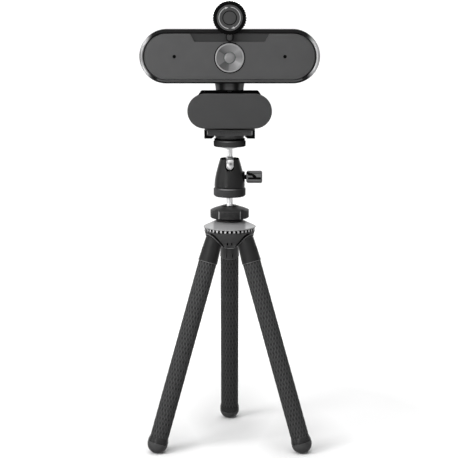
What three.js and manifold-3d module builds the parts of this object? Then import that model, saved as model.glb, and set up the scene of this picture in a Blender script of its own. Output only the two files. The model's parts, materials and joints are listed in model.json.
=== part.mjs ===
// A webcam with a swinging privacy cover, held by its clip on a ball head and a tripod with flexible legs.
// Millimetres, +Z up, the lens looks along -Y. The origin is the middle of the footprint, on the floor.
import * as THREE from 'three';
import { mergeVertices } from 'three/addons/utils/BufferGeometryUtils.js';
import Module from 'manifold-3d';

const wasm = await Module();
wasm.setup();

// ---- Driving dimensions ----

const gap = 0.3; // clearance between pieces that rest on or turn in each other
const over = 1; // how far a cutting shape reaches past what it cuts
const wideSides = 36; // sides of a wide round, of a usual one, of a small one and of a pin
const roundSides = 24;
const smallSides = 20;
const pinSides = 12;
const threadRadius = 3.175; // 1/4 inch tripod thread

// Flexible legs
const legs = { left: -150, right: -30, back: 90 }; // each leg's direction seen from above, in degrees
const bendRadius = 18.9; // from the stand's axis to each leg's upper bend
const splay = THREE.MathUtils.degToRad(17.9); // each leg's lean from vertical
const footRadius = 7.15;
const footHeight = 6.6; // the foot's centre above the floor
const footCollar = 4; // the foot's straight collar above its centre
const sleeveRadius = 6.35;
const coreRadius = 1.5;
const legLength = 126.9; // from the bend at the socket's mouth to the foot's centre
const midBend = 62; // from the upper bend to the bend at mid-leg
const sleeveInFoot = 3;
const coreInFoot = 2; // how much further down than the sleeve the wire reaches

// Hub
const socketMouthRadius = 6.8;
const socketTopRadius = 5.9;
const socketLength = 20.3;
const socketShoulder = { height: 3.5, inset: 2.5 }; // the chamfer round its top, inside the skirt
const mouthAboveBend = 4; // room for the sleeve's round end in the socket's mouth
const skirtAboveBend = 25.04; // from the legs' upper bends to the skirt's top
const skirtHeight = 11.6;
const skirtRadius = 17.6;
const skirtFloorRadius = 7;
const spigotRadius = 11.7;
const toothCount = 36;
const toothRadius = 17.5;
const toothDepth = 1;
const toothRingHeight = 1.7;
const capRadius = 18.3;
const capRim = 1;
const capConeHeight = 3.2;
const capNeckRadius = 9.6;
const capNeckHeight = 1.7;

// Stud and lock nut
const studInHub = 5.4; // the stud's lower end, moulded into the hub
const studInHead = 5;
const nutStandOff = 0.7;
const nutHeight = 8.3;
const nutLobeHeight = 6;
const nutDish = { radius: 5.6, depth: 1.3 };
const nutRadius = 13.45;
const nutValleyRadius = 9.8;
const nutCollarRadius = 5.2;
const nutCollarHeight = 1.5;

// Ball head
const headAboveNut = 15.2; // from the nut's foot to the base ring's
const ringHeight = 6.1;
const ringRadius = 11.15;
const housingHeight = 20.2;
const housingRadius = 10.5;
const housingRimRadius = 6.6;
const housingMouthRadius = 4.9;
const ballRadius = 5.5;
const ballAboveFoot = 15.3; // from the housing's foot to the ball's centre
const ballNeckRadius = 2;
const cupDrop = 2.6; // from the ball's centre to the cup's rim
const notchRadius = 2.75; // lets the ball's neck lie level towards the front
const clampDrop = 8.3; // from the ball's centre to the clamp's screw
const clampBossRadius = 2.7;
const clampBossReach = 10.5;
const shoeRadius = 1.9;
const shoeLength = 2.2;
const clampScrewRadius = 1.6;
const knobRadius = 4.3;
const knobLength = 11;
const knobStandOff = 1.1;
const screwInKnob = 4;
const neckReach = 11.7; // from the ball's centre to the platform
const platformHeight = 5.9;
const platformRadius = 11.1;
const platformWeb = 2; // of the disc between the ball's neck and the camera screw's side
const cameraScrewSeat = 1.7; // the camera screw's depth in the disc
const cameraScrewReach = 5.9; // the camera screw's length above the pad
const padThickness = 0.6;

// Clip
const legPlateWidth = 34.8; // the clip leg over its side flanges
const flange = 2.6;
const footPlateThickness = 4;
const footFront = -9.5;
const clipDepth = 12; // from the stand's axis to the back of the clip leg
const legWall = 2.8;
const bossHeight = 2.5;
const legPadThickness = 1.6;
const legPadInset = 1; // from the back of the clip leg
const bossRadius = 10.3;
const insertRadius = 4.6;
const hingeAboveFoot = 25.2; // from the clip leg's foot plate to the hinge
const knuckleRadius = 2.4;
const knuckleHalf = 9;
const earRadius = 2.8;
const earOuter = 14;
const pinRadius = 1;
const topPlate = { aboveHinge: 1.5, thickness: 3, width: 41.6, bevel: 1, front: -14.5 };
const lip = { width: 32, height: 18.7, thickness: 1.8 };
const frontPlate = { width: 57.6, height: 23.7, drop: 9.15, thickness: 2.6, chamfer: 0.6 };
const gripPad = { inset: 1, thickness: 1.2, height: 15 };

// Swivel column
const columnHeight = 6.3; // from the clip's top plate to the webcam's case
const columnTop = { radius: 4.6, straight: 5.7 };
const columnFootRadius = 3.6;
const swivelScrew = { head: 3.2, headHeight: 1.4, shaft: 1.5, length: 9.5 };
const tiltBarrelRadius = 5;
const tiltBarrelHalf = 9;
const tiltBarrelDrop = 0.6; // how far the barrel reaches below the webcam's case
const tiltTravel = THREE.MathUtils.degToRad(20); // either way

// Webcam
const body = { width: 123, height: 36.6, front: -13.4, split: -8.5, back: 12.6 };
const wall = 1.7;
const panelInset = 2.75; // from the body's outline to the front panel's
const panelThickness = 1.6;
const ledgeWidth = 0.6; // of the rim's ledge behind the front panel's edge
const ledgeThickness = 1.2;
const recessDepth = 1;
const recess = { top: 27, bottom: 23.9, height: 5.55 };
const lensDrop = 0.8; // from the middle of the case to the lens
const lensRingRadius = 9.9;
const lensSleeveRadius = 8.3;
const lensFlange = 0.5; // the ring's flange behind the panel's front
const lensStandOut = 0.5; // the ring's front before the panel's
const lensBore = 4;
const barrelRadius = 6;
const barrelBore = 4.4;
const microphoneOffset = 37.6;
const microphoneHoleRadius = 0.95;
const board = { halfWidth: 40.5, halfHeight: 12.5, thickness: 1, front: -7.4 };
const cableInlet = { rise: 10.5, flange: 4.2, flangeThickness: 0.8, tube: 3.2, bore: 1.9 };
const lugWidth = 2; // of the case's two lugs that hold the tilt pin
const lugHalfDepth = 3;
const chip = { halfSensor: 3, sensorDepth: 1, microphoneHalf: 1.5, microphoneDepth: 1.1 };

// Privacy cover
const coverRadius = 11.45;
const coverFaceRadius = 8.6;
const coverThickness = 3.9;
const coverFaceThickness = 0.5;
const coverPivotDrop = 2.85; // from the front panel's top to the cover's pivot
const coverStandOff = 0.9; // from the front panel to the cover's back
const armHalfWidth = 2.85;
const armThickness = 1.6;
const armShort = 3; // from the arm's top to the disc's centre
const armRise = 0.5;
const armRiseHalfWidth = 1.65;
const coverPinRadius = 1.5;
const coverPin = { head: 2, inArm: 0.8, back: 1 };
const knurls = 24;
const knurlDepth = 0.35;

// ---- Finishes ----

const finish = (color, roughness, metalness = 0) => ({ color, roughness, metalness });
const finishes = {
  satinGrey: finish(0x4f5052, 0.5),
  glossBlack: finish(0x161617, 0.18),
  mattBlack: finish(0x222223, 0.55),
  rubber: finish(0x303031, 0.8),
  foam: finish(0x2c2c2d, 0.85),
  hubGrey: finish(0x454647, 0.5),
  silver: finish(0xb4b5b7, 0.35, 0.9),
  lensSteel: finish(0x8d8e90, 0.3, 0.95),
  chrome: finish(0xe4e5e7, 0.08, 1),
  steel: finish(0x9b9c9e, 0.35, 1),
  brass: finish(0xb08a45, 0.35, 1),
  aluminium: finish(0xb9babb, 0.45, 1),
  glass: finish(0x2a2c30, 0.05),
  circuitBoard: finish(0x1c4a32, 0.5),
  blackPlastic: finish(0x1b1b1c, 0.4),
};

// ---- Solids ----

// A closed mesh as a solid. Triangles that a pole or a seam has flattened are left out.
function solid(geometry) {
  const bare = geometry.clone();
  bare.deleteAttribute('normal');
  bare.deleteAttribute('uv');
  const merged = mergeVertices(bare, 1e-4);
  const triangles = [];
  for (let i = 0; i < merged.index.count; i += 3) {
    const [a, b, c] = [0, 1, 2].map((k) => merged.index.getX(i + k));
    if (a !== b && b !== c && c !== a) triangles.push(a, b, c);
  }
  return new wasm.Manifold(
    new wasm.Mesh({
      numProp: 3,
      vertProperties: new Float32Array(merged.attributes.position.array),
      triVerts: new Uint32Array(triangles),
    }),
  );
}

const cut = (base, ...tools) => tools.reduce((rest, tool) => rest.subtract(tool), base);
const join = (base, ...others) => others.reduce((whole, other) => whole.add(other), base);

// A named mesh of a solid, in one of the finishes.
function piece(name, shape, look) {
  const mesh = shape.getMesh();
  const geometry = new THREE.BufferGeometry();
  geometry.setAttribute('position', new THREE.BufferAttribute(mesh.vertProperties, 3));
  geometry.setIndex(new THREE.BufferAttribute(mesh.triVerts, 1));
  geometry.computeVertexNormals();
  const made = new THREE.Mesh(geometry, new THREE.MeshStandardMaterial(look));
  made.name = name;
  return made;
}

// Turned about Z: the profile's points are [radius, height], going up along the outside.
function turned(profile, segments = roundSides) {
  const points = profile.map(([radius, height]) => new THREE.Vector2(radius, height));
  return solid(new THREE.LatheGeometry(points, segments).rotateX(Math.PI / 2));
}

const closed = (profile) => [...profile, profile[0]];

// A round bar about Z, from one height to another.
const post = (radius, from, to, segments = smallSides) =>
  turned([[0, from], [radius, from], [radius, to], [0, to]], segments);

// The same along X, and along Y, through a given height.
const barX = (radius, from, to, y, z, segments = smallSides) =>
  solidMoved(post(radius, from, to, segments), new THREE.Matrix4().makeRotationY(Math.PI / 2), 0, y, z);
const barY = (radius, from, to, z, x = 0, segments = smallSides) =>
  solidMoved(post(radius, from, to, segments), new THREE.Matrix4().makeRotationX(-Math.PI / 2), x, 0, z);

function solidMoved(shape, turn, x, y, z) {
  return shape.transform(turn.clone().setPosition(x, y, z).elements);
}

// A profile turned about Z, laid over so that its heights run along +Y.
const turnedY = (profile, z, segments = roundSides) =>
  solidMoved(turned(profile, segments), new THREE.Matrix4().makeRotationX(-Math.PI / 2), 0, 0, z);

const ball = (radius, z, x = 0) =>
  solid(new THREE.SphereGeometry(radius, roundSides, roundSides / 2).rotateX(Math.PI / 2).translate(x, 0, z));

function block([x0, x1], [y0, y1], [z0, z1]) {
  const box = new THREE.BoxGeometry(x1 - x0, y1 - y0, z1 - z0);
  return solid(box.translate((x0 + x1) / 2, (y0 + y1) / 2, (z0 + z1) / 2));
}

// An outline in X and Y, extruded upwards.
const prism = (outline, from, to) =>
  solid(new THREE.ExtrudeGeometry(outline, { depth: to - from, bevelEnabled: false, curveSegments: 6 })
    .translate(0, 0, from));

// An outline in X and Z, extruded from one depth to another along Y.
const facing = (outline, from, to) =>
  solid(new THREE.ExtrudeGeometry(outline, { depth: to - from, bevelEnabled: false, curveSegments: 8 })
    .rotateX(Math.PI / 2).translate(0, to, 0));

// A turned shape about Y whose round is drawn out into a stadium, by `straight` each way along X.
function pill(profile, straight, segments = roundSides) {
  const half = segments / 2;
  const position = [];
  for (const [centre, start] of [[straight, -Math.PI / 2], [-straight, Math.PI / 2]]) {
    for (let step = 0; step <= half; step++) {
      const angle = start + (Math.PI * step) / half;
      for (const [radius, along] of profile) {
        position.push(centre + radius * Math.cos(angle), along, radius * Math.sin(angle));
      }
    }
  }
  const rings = segments + 2;
  const count = profile.length;
  const index = [];
  for (let ring = 0; ring < rings; ring++) {
    const next = (ring + 1) % rings;
    for (let j = 0; j + 1 < count; j++) {
      const [a, b] = [ring * count + j, next * count + j];
      index.push(a, a + 1, b + 1, a, b + 1, b);
    }
  }
  const geometry = new THREE.BufferGeometry();
  geometry.setAttribute('position', new THREE.Float32BufferAttribute(position, 3));
  geometry.setIndex(index);
  return geometry;
}

// A stadium plate in X and Z, from one depth to another, with its edges chamfered.
function stadiumPlate(halfWidth, halfHeight, middle, from, to, chamfer) {
  const profile = [
    [0, from], [halfHeight - chamfer, from], [halfHeight, from + chamfer],
    [halfHeight, to - chamfer], [halfHeight - chamfer, to], [0, to],
  ];
  return solid(pill(profile, halfWidth - halfHeight).translate(0, 0, middle));
}

// An outline of a disc with a number of teeth, each as wide as its gap.
function toothedOutline(radius, depth, count) {
  const outline = new THREE.Shape();
  for (let i = 0; i < count * 2; i++) {
    const reach = i % 2 ? radius - depth : radius;
    for (const turn of [i - 0.5, i + 0.5]) {
      const angle = (Math.PI * turn) / count;
      const point = [reach * Math.cos(angle), reach * Math.sin(angle)];
      if (i === 0 && turn < 0) outline.moveTo(...point);
      else outline.lineTo(...point);
    }
  }
  outline.closePath();
  return outline;
}

// ---- Tripod ----

const footCircle = bendRadius + legLength * Math.sin(splay);
const bendHeight = footHeight + legLength * Math.cos(splay);
const skirtTop = bendHeight + skirtAboveBend;
const capFoot = skirtTop + gap + toothRingHeight + gap;
const capTop = capFoot + capRim + capConeHeight + capNeckHeight;
const studFoot = skirtTop - studInHub;
const studBore = threadRadius + gap;
const nutFoot = capTop + nutStandOff;
const ringFoot = nutFoot + headAboveNut;

// The frame of one leg: its bend at the socket's mouth, with the leg running down its -Z axis.
function legFrame(direction) {
  const turn = new THREE.Matrix4().makeRotationZ(THREE.MathUtils.degToRad(direction));
  const lean = new THREE.Matrix4().makeRotationY(-splay).setPosition(bendRadius, 0, bendHeight);
  return turn.multiply(lean);
}

// The inner wire stands clear in its sleeve, and is cut where the leg bends.
const sleeveBore = coreRadius + gap;

// A round end about the leg's bend at the height `middle`, with the inner wire's bore in it.
function roundEnd(middle) {
  const points = [];
  const first = Math.asin(sleeveBore / sleeveRadius);
  for (let i = 0; i <= 4; i++) {
    const angle = Math.PI / 2 + ((first - Math.PI / 2) * i) / 4;
    points.push([sleeveRadius * Math.sin(angle), middle + sleeveRadius * Math.cos(angle)]);
  }
  return points;
}

// The upper half stops short of the lower one's round end.
const upperEnd = -midBend + sleeveRadius + gap;
const lowerEnd = -legLength + footCollar - sleeveInFoot;

function sleeve(top, bottom) {
  const outside = [[sleeveBore, bottom], [sleeveRadius, bottom], ...roundEnd(top)];
  return turned(closed(outside));
}

const core = (top, bottom) => post(coreRadius, bottom, top, pinSides);

function foot() {
  const centre = -legLength;
  const sole = [];
  for (let i = 0; i <= 6; i++) {
    const angle = (Math.PI / 2) * (i / 6);
    sole.push([footRadius * Math.sin(angle), centre - footRadius * Math.cos(angle)]);
  }
  const collarTop = centre + footCollar;
  const collar = [[footRadius, collarTop - 1], [footRadius - 0.4, collarTop], [0, collarTop]];
  const whole = turned([...sole, ...collar]);
  const bore = post(sleeveRadius + gap, lowerEnd - gap, collarTop + over, roundSides);
  const coreBore = post(coreRadius + gap, lowerEnd - coreInFoot - gap, collarTop);
  const floor = new THREE.BoxGeometry(60, 60, 20).translate(footCircle, 0, -10);
  return cut(whole, bore, coreBore, solid(floor.applyMatrix4(legFrame(0).invert())));
}

// The socket flares down to its mouth, which is hollowed for the sleeve's round end.
function socket(extra = 0) {
  const [from, to] = [mouthAboveBend, mouthAboveBend + socketLength];
  const profile = [
    [0, from - extra], [socketMouthRadius + extra, from - extra],
    [socketTopRadius + extra, to - socketShoulder.height + extra],
    [socketTopRadius - socketShoulder.inset + extra, to + extra], [0, to + extra],
  ];
  return turned(profile);
}

function leg(side) {
  const group = new THREE.Group();
  const coreTop = sleeveRadius - gap;
  group.applyMatrix4(legFrame(legs[side]));
  group.add(
    piece('leg_socket_' + side, cut(socket(), ball(sleeveRadius + gap, 0)), finishes.glossBlack),
    piece('sleeve_upper_' + side, sleeve(0, upperEnd), finishes.foam),
    piece('core_upper_' + side, core(coreTop, upperEnd), finishes.aluminium),
    piece('sleeve_lower_' + side, sleeve(-midBend, lowerEnd), finishes.foam),
    piece('core_lower_' + side, core(coreTop - midBend, lowerEnd - coreInFoot), finishes.aluminium),
    piece('foot_' + side, foot(), finishes.rubber),
  );
  return group;
}

function hubSkirt() {
  const floor = skirtTop - skirtHeight;
  const bowl = turned([
    [0, floor], [skirtFloorRadius, floor], [9.8, floor + 0.5], [12.3, floor + 1.8], [14.4, floor + 4],
    [16, floor + 6.8], [17, floor + 9.4], [skirtRadius, skirtTop],
    [spigotRadius, skirtTop], [spigotRadius, skirtTop + toothRingHeight], [0, skirtTop + toothRingHeight],
  ], wideSides);
  const pockets = Object.values(legs).map((direction) => {
    const room = join(socket(gap), post(socketMouthRadius + gap, -socketLength, mouthAboveBend, roundSides));
    return room.transform(legFrame(direction).elements);
  });
  return cut(bowl, ...pockets, post(studBore, studFoot - gap, capTop));
}

function toothRing() {
  const foot = skirtTop + gap;
  const disc = prism(toothedOutline(toothRadius, toothDepth, toothCount), foot, foot + toothRingHeight);
  return cut(disc, post(spigotRadius + gap, foot - over, foot + toothRingHeight + over, wideSides));
}

function hubCap() {
  const rimTop = capFoot + capRim;
  return turned(closed([
    [studBore, capFoot], [capRadius, capFoot], [capRadius, rimTop],
    [capNeckRadius + 1, rimTop + capConeHeight], [capNeckRadius, rimTop + capConeHeight],
    [capNeckRadius, capTop], [studBore, capTop],
  ]), wideSides);
}

// Four lobes with rounded valleys between them.
function lockNut() {
  const outline = new THREE.Shape();
  const lobe = THREE.MathUtils.degToRad(30);
  for (let i = 0; i < 4; i++) {
    const middle = (Math.PI / 2) * i;
    const valley = middle + Math.PI / 4;
    outline.absarc(0, 0, nutRadius, middle - lobe, middle + lobe);
    outline.quadraticCurveTo(
      nutValleyRadius * Math.cos(valley), nutValleyRadius * Math.sin(valley),
      nutRadius * Math.cos(middle + Math.PI / 2 - lobe), nutRadius * Math.sin(middle + Math.PI / 2 - lobe),
    );
  }
  const top = nutFoot + nutHeight;
  const lobed = prism(outline, nutFoot, top);
  const envelope = turned([
    [0, nutFoot], [nutRadius - 1, nutFoot], [nutRadius + 0.1, nutFoot + 0.8],
    [nutRadius + 0.1, nutFoot + nutLobeHeight], [nutDish.radius + 1, top], [0, top],
  ], wideSides);
  const dish = post(nutDish.radius, top - nutDish.depth, top + over);
  return cut(lobed.intersect(envelope), dish, post(studBore, nutFoot - over, top + over));
}

function tripod() {
  const group = new THREE.Group();
  const collarFoot = nutFoot + nutHeight - nutDish.depth + gap;
  const collar = cut(
    post(nutCollarRadius, collarFoot, collarFoot + nutCollarHeight),
    post(studBore, collarFoot - over, collarFoot + nutCollarHeight + over),
  );
  group.add(
    ...Object.keys(legs).map(leg),
    piece('hub_skirt', hubSkirt(), finishes.hubGrey),
    piece('tooth_ring', toothRing(), finishes.silver),
    piece('hub_cap', hubCap(), finishes.silver),
    piece('tripod_stud', post(threadRadius, studFoot, ringFoot + studInHead), finishes.chrome),
    piece('lock_nut', lockNut(), finishes.mattBlack),
    piece('nut_collar', collar, finishes.mattBlack),
  );
  return group;
}

// ---- Ball head ----

const ringTop = ringFoot + ringHeight;
const housingFoot = ringTop + gap;
const housingTop = housingFoot + housingHeight;
const ballHeight = housingFoot + ballAboveFoot;
const clampHeight = ballHeight - clampDrop;
const platformFoot = ballHeight + neckReach;
const seatRadius = ballRadius + gap;
const cupRadius = seatRadius - gap;
const shoeTip = cupRadius + gap;
const screwTip = shoeTip + shoeLength + gap;
const knobInner = clampBossReach + knobStandOff;
const clampBar = (radius, from, to) => barX(radius, from, to, 0, clampHeight, pinSides);

function headHousing() {
  const outside = [
    [seatRadius, housingFoot], [housingRadius - 0.1, housingFoot], [housingRadius, housingFoot + 0.7],
    [housingRadius - 0.1, housingFoot + 3.6], [9.9, clampHeight], [9.15, housingFoot + 11.1],
    [8, ballHeight], [7, housingTop - 1.8], [housingRimRadius, housingTop], [housingMouthRadius, housingTop],
  ];
  const seat = [];
  const lip = Math.asin((housingMouthRadius - 0.3) / seatRadius);
  for (let i = 0; i <= 5; i++) {
    const angle = lip + ((Math.PI / 2 - lip) * i) / 5;
    seat.push([seatRadius * Math.sin(angle), ballHeight + seatRadius * Math.cos(angle)]);
  }
  const shell = turned(closed([...outside, ...seat]), wideSides);
  const boss = cut(
    barX(clampBossRadius, 0, clampBossReach, 0, clampHeight),
    post(seatRadius + 0.5, housingFoot - over, ballHeight, wideSides),
  );
  const notch = join(
    barY(notchRadius, -housingRadius - over, 0, ballHeight),
    block([-notchRadius, notchRadius], [-housingRadius - over, 0], [ballHeight, housingTop + over]),
  );
  const shoeBore = barX(shoeRadius + gap, 0, clampBossReach + over, 0, clampHeight);
  return cut(join(shell, boss), notch, shoeBore);
}

// The cup under the ball, pushed up by the clamp shoe.
function ballCup() {
  return cut(post(cupRadius, housingFoot, ballHeight - cupDrop, roundSides), ball(seatRadius, ballHeight));
}

function clampKnob() {
  const outer = knobInner + knobLength;
  const grip = solidMoved(
    turned([
      [0, knobInner], [knobRadius - 1.2, knobInner], [knobRadius, knobInner + 1],
      [knobRadius, outer - 0.7], [knobRadius - 0.7, outer], [0, outer],
    ]),
    new THREE.Matrix4().makeRotationY(Math.PI / 2), 0, 0, clampHeight,
  );
  return cut(grip, barX(clampScrewRadius + gap, 0, knobInner + screwInKnob + gap, 0, clampHeight));
}

function platformDisc() {
  const top = platformFoot + platformHeight;
  const bodyOfDisc = turned([
    [0, platformFoot], [3.2, platformFoot], [8, platformFoot + 2], [platformRadius - 0.5, platformFoot + 2.5],
    [platformRadius, platformFoot + 3], [platformRadius, top - 0.4], [platformRadius - 0.4, top], [0, top],
  ], wideSides);
  return cut(
    bodyOfDisc,
    post(ballNeckRadius + gap, platformFoot - over, top - platformWeb),
    post(studBore, top - cameraScrewSeat, top + over),
  );
}

const padFoot = platformFoot + platformHeight + gap;
const clipFoot = padFoot + padThickness + gap;

function ballHead() {
  const group = new THREE.Group();
  const discTop = platformFoot + platformHeight;
  const chamfer = 0.8;
  const ring = turned(closed([
    [studBore, ringFoot], [ringRadius - chamfer, ringFoot], [ringRadius, ringFoot + chamfer],
    [ringRadius, ringTop - 0.5], [ringRadius - 0.5, ringTop], [studBore, ringTop],
  ]), wideSides);
  const neckTop = discTop - platformWeb - gap;
  const ballAndNeck = join(ball(ballRadius, ballHeight), post(ballNeckRadius, ballHeight, neckTop));
  const pad = cut(
    post(platformRadius - 0.4, padFoot, padFoot + padThickness, wideSides),
    post(studBore, padFoot - over, padFoot + padThickness + over),
  );
  const cameraScrew = post(threadRadius, discTop - cameraScrewSeat + gap, clipFoot + cameraScrewReach);
  group.add(
    piece('base_ring', ring, finishes.mattBlack),
    piece('head_housing', headHousing(), finishes.mattBlack),
    piece('ball_cup', ballCup(), finishes.blackPlastic),
    piece('ball_and_neck', ballAndNeck, finishes.chrome),
    piece('clamp_shoe', clampBar(shoeRadius, shoeTip, shoeTip + shoeLength), finishes.brass),
    piece('clamp_screw', clampBar(clampScrewRadius, screwTip, knobInner + screwInKnob), finishes.steel),
    piece('clamp_knob', clampKnob(), finishes.mattBlack),
    piece('platform_disc', platformDisc(), finishes.mattBlack),
    piece('platform_pad', pad, finishes.rubber),
    piece('camera_screw', cameraScrew, finishes.steel),
  );
  return group;
}

// ---- Clip ----

const footPlateFoot = clipFoot + bossHeight;
const hingeHeight = footPlateFoot + hingeAboveFoot;
const topPlateFoot = hingeHeight + topPlate.aboveHinge;
const topOfPlate = topPlateFoot + topPlate.thickness;
const lipFoot = topPlateFoot - lip.height;
const hingeDepth = clipDepth - legWall / 2;
const pinBore = pinRadius + gap;
const pinLine = (radius, from, to) => barX(radius, from, to, hingeDepth, hingeHeight, pinSides);
const earInner = knuckleHalf + gap;
const pinHole = pinLine(pinBore, -earOuter - over, earOuter + over);

// An L: the foot plate on the ball head, the wall behind it and the hinge's middle knuckle on top.
function clipLeg() {
  const half = legPlateWidth / 2;
  const plateTop = footPlateFoot + footPlateThickness;
  const wallFront = clipDepth - legWall;
  const boss = turned([
    [0, clipFoot], [bossRadius - 1, clipFoot], [bossRadius, footPlateFoot + 0.1], [0, footPlateFoot + 0.1],
  ]);
  const plate = block([-half, half], [footFront, clipDepth], [footPlateFoot, plateTop]);
  const back = block([-half, half], [wallFront, clipDepth], [footPlateFoot, hingeHeight - earRadius - gap]);
  const neck = block([-knuckleHalf, knuckleHalf], [wallFront, clipDepth], [plateTop, hingeHeight]);
  const knuckle = pinLine(knuckleRadius, -knuckleHalf, knuckleHalf);
  const insertHole = post(insertRadius + gap, clipFoot - over, plateTop + over);
  return cut(join(plate, boss, back, neck, knuckle), pinHole, insertHole);
}

// One of the two strips under the foot plate's flanges.
function legPad(side) {
  const [inner, outer] = [legPlateWidth / 2 - 2 * flange, legPlateWidth / 2];
  const top = footPlateFoot - gap;
  const across = side < 0 ? [-outer, -inner] : [inner, outer];
  return block(across, [footFront, clipDepth - legPadInset], [top - legPadThickness, top]);
}

// An L: the top plate with its two hinge ears, and the lip in front of the screen.
function clipBracket() {
  const half = topPlate.width / 2;
  const top = topOfPlate;
  const back = hingeDepth + earRadius;
  const edge = half + topPlate.bevel;
  const corners = [[edge, topPlateFoot], [edge, top - topPlate.bevel], [half, top]];
  const mirrored = corners.map(([x, z]) => [-x, z]).reverse();
  const outline = new THREE.Shape([...corners, ...mirrored].map(([x, z]) => new THREE.Vector2(x, z)));
  const plate = facing(outline, topPlate.front, back);
  const lipBack = topPlate.front + lip.thickness;
  const apron = block(
    [-lip.width / 2, lip.width / 2], [topPlate.front, lipBack], [lipFoot, topPlateFoot + over],
  );
  const ears = barX(earRadius, -earOuter, earOuter, hingeDepth, hingeHeight);
  const roomFront = hingeDepth - earRadius - gap;
  const knuckleRoom = block([-earInner, earInner], [roomFront, back + over], [lipFoot, top + over]);
  const screwHole = post(swivelScrew.shaft + gap, topPlateFoot - over, top + over);
  const seatTop = topPlateFoot + gap + swivelScrew.headHeight + gap;
  const screwSeat = post(swivelScrew.head + gap, topPlateFoot - over, seatTop);
  return cut(join(plate, apron, ears), knuckleRoom, pinHole, screwHole, screwSeat);
}

function clip() {
  const group = new THREE.Group();
  const plateBack = topPlate.front - gap;
  const padFront = topPlate.front + lip.thickness + gap;
  const insert = cut(
    post(insertRadius, clipFoot, footPlateFoot + footPlateThickness - gap),
    post(studBore, clipFoot - over, footPlateFoot + footPlateThickness),
  );
  const face = stadiumPlate(
    frontPlate.width / 2, frontPlate.height / 2, topPlateFoot - frontPlate.drop,
    plateBack - frontPlate.thickness, plateBack, frontPlate.chamfer,
  );
  const pad = block(
    [-lip.width / 2 + gripPad.inset, lip.width / 2 - gripPad.inset], [padFront, padFront + gripPad.thickness],
    [lipFoot + gripPad.inset, lipFoot + gripPad.inset + gripPad.height],
  );
  group.add(
    piece('clip_leg', clipLeg(), finishes.mattBlack),
    piece('leg_pad_left', legPad(-1), finishes.rubber),
    piece('leg_pad_right', legPad(1), finishes.rubber),
    piece('thread_insert', insert, finishes.brass),
    piece('clip_hinge_pin', pinLine(pinRadius, -earOuter, earOuter), finishes.steel),
    piece('clip_bracket', clipBracket(), finishes.mattBlack),
    piece('clip_front_plate', face, finishes.satinGrey),
    piece('grip_pad', pad, finishes.rubber),
  );
  return group;
}

// ---- Swivel column ----

const bodyFoot = topOfPlate + columnHeight;
const bodyMiddle = bodyFoot + body.height / 2;
const lensHeight = bodyMiddle - lensDrop;
const tiltHeight = bodyFoot + tiltBarrelRadius - tiltBarrelDrop;
const columnWidth = 2 * (columnTop.radius + columnTop.straight);

function column() {
  const foot = topOfPlate + gap;
  const profile = [[0, foot], [columnFootRadius, foot], [columnTop.radius, bodyFoot], [0, bodyFoot]];
  const cone = solid(pill(profile, columnTop.straight).rotateX(Math.PI / 2));
  const barrel = barX(tiltBarrelRadius, -tiltBarrelHalf, tiltBarrelHalf, 0, tiltHeight, roundSides);
  return cut(
    join(cone, barrel),
    barX(pinBore, -columnWidth, columnWidth, 0, tiltHeight, pinSides),
    post(swivelScrew.shaft + gap, foot - over, screwFoot + swivelScrew.length + gap),
  );
}

const screwFoot = topPlateFoot + gap;

function swivel() {
  const group = new THREE.Group();
  const screw = join(
    post(swivelScrew.head, screwFoot, screwFoot + swivelScrew.headHeight),
    post(swivelScrew.shaft, screwFoot, screwFoot + swivelScrew.length),
  );
  group.add(
    piece('swivel_column', column(), finishes.glossBlack),
    piece('swivel_screw', screw, finishes.steel),
  );
  return group;
}

// ---- Webcam ----

const bodyRadius = body.height / 2;
const bodyStraight = body.width / 2 - bodyRadius;
const panelRadius = bodyRadius - panelInset;
const panelTop = bodyMiddle + panelRadius;
const coverPivotHeight = panelTop - coverPivotDrop;
const panelFront = body.front + 0.2;
const panelBack = panelFront + panelThickness;
const lugInner = columnWidth / 2 + 2 * gap;
const tiltPinHalf = lugInner + lugWidth;

const bodyPill = (profile) => solid(pill(profile, bodyStraight).translate(0, 0, bodyMiddle));

// The glossy rim, with the ledge that carries the front panel.
function frontBezel() {
  const ledge = panelBack + gap;
  const ledgeBack = ledge + ledgeThickness;
  return bodyPill(closed([
    [bodyRadius - wall, body.split], [bodyRadius - wall, ledgeBack], [panelRadius - ledgeWidth, ledgeBack],
    [panelRadius - ledgeWidth, ledge], [panelRadius + gap, ledge], [panelRadius + gap, body.front],
    [bodyRadius - 1.6, body.front], [bodyRadius - 0.7, body.front + 0.5],
    [bodyRadius - 0.15, body.front + 1.5], [bodyRadius, body.front + 2.8], [bodyRadius, body.split],
  ]));
}

function rearCase() {
  const front = body.split + gap;
  const shell = bodyPill([
    [bodyRadius - wall, front], [bodyRadius, front], [bodyRadius, 2], [bodyRadius - 0.7, 7],
    [bodyRadius - 2.5, 11], [bodyRadius - 5.3, body.back], [0, body.back], [0, body.back - wall],
    [bodyRadius - 6.3, body.back - wall], [bodyRadius - 4.1, 9.6], [bodyRadius - 2.4, 6.3],
    [bodyRadius - wall, 1.8], [bodyRadius - wall, front],
  ]);
  const pivotRise = tiltHeight - bodyFoot;
  const mouth = (columnTop.radius + gap + pivotRise * Math.sin(tiltTravel)) / Math.cos(tiltTravel);
  const slotHalf = columnWidth / 2 + gap;
  const slot = barX(Math.hypot(mouth, pivotRise) + gap, -slotHalf, slotHalf, 0, tiltHeight, roundSides);
  const lugs = [-1, 1].map((side) => {
    const across = [side * lugInner, side * (lugInner + lugWidth)].sort((a, b) => a - b);
    return block(across, [-lugHalfDepth, lugHalfDepth], [bodyFoot + over, tiltHeight + lugHalfDepth]);
  });
  const pinHole = barX(pinBore, -tiltPinHalf - over, tiltPinHalf + over, 0, tiltHeight, pinSides);
  const inlet = barY(cableInlet.tube + gap, 0, body.back + over, bodyFoot + cableInlet.rise);
  return cut(join(cut(shell, slot), ...lugs), pinHole, inlet);
}

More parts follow.
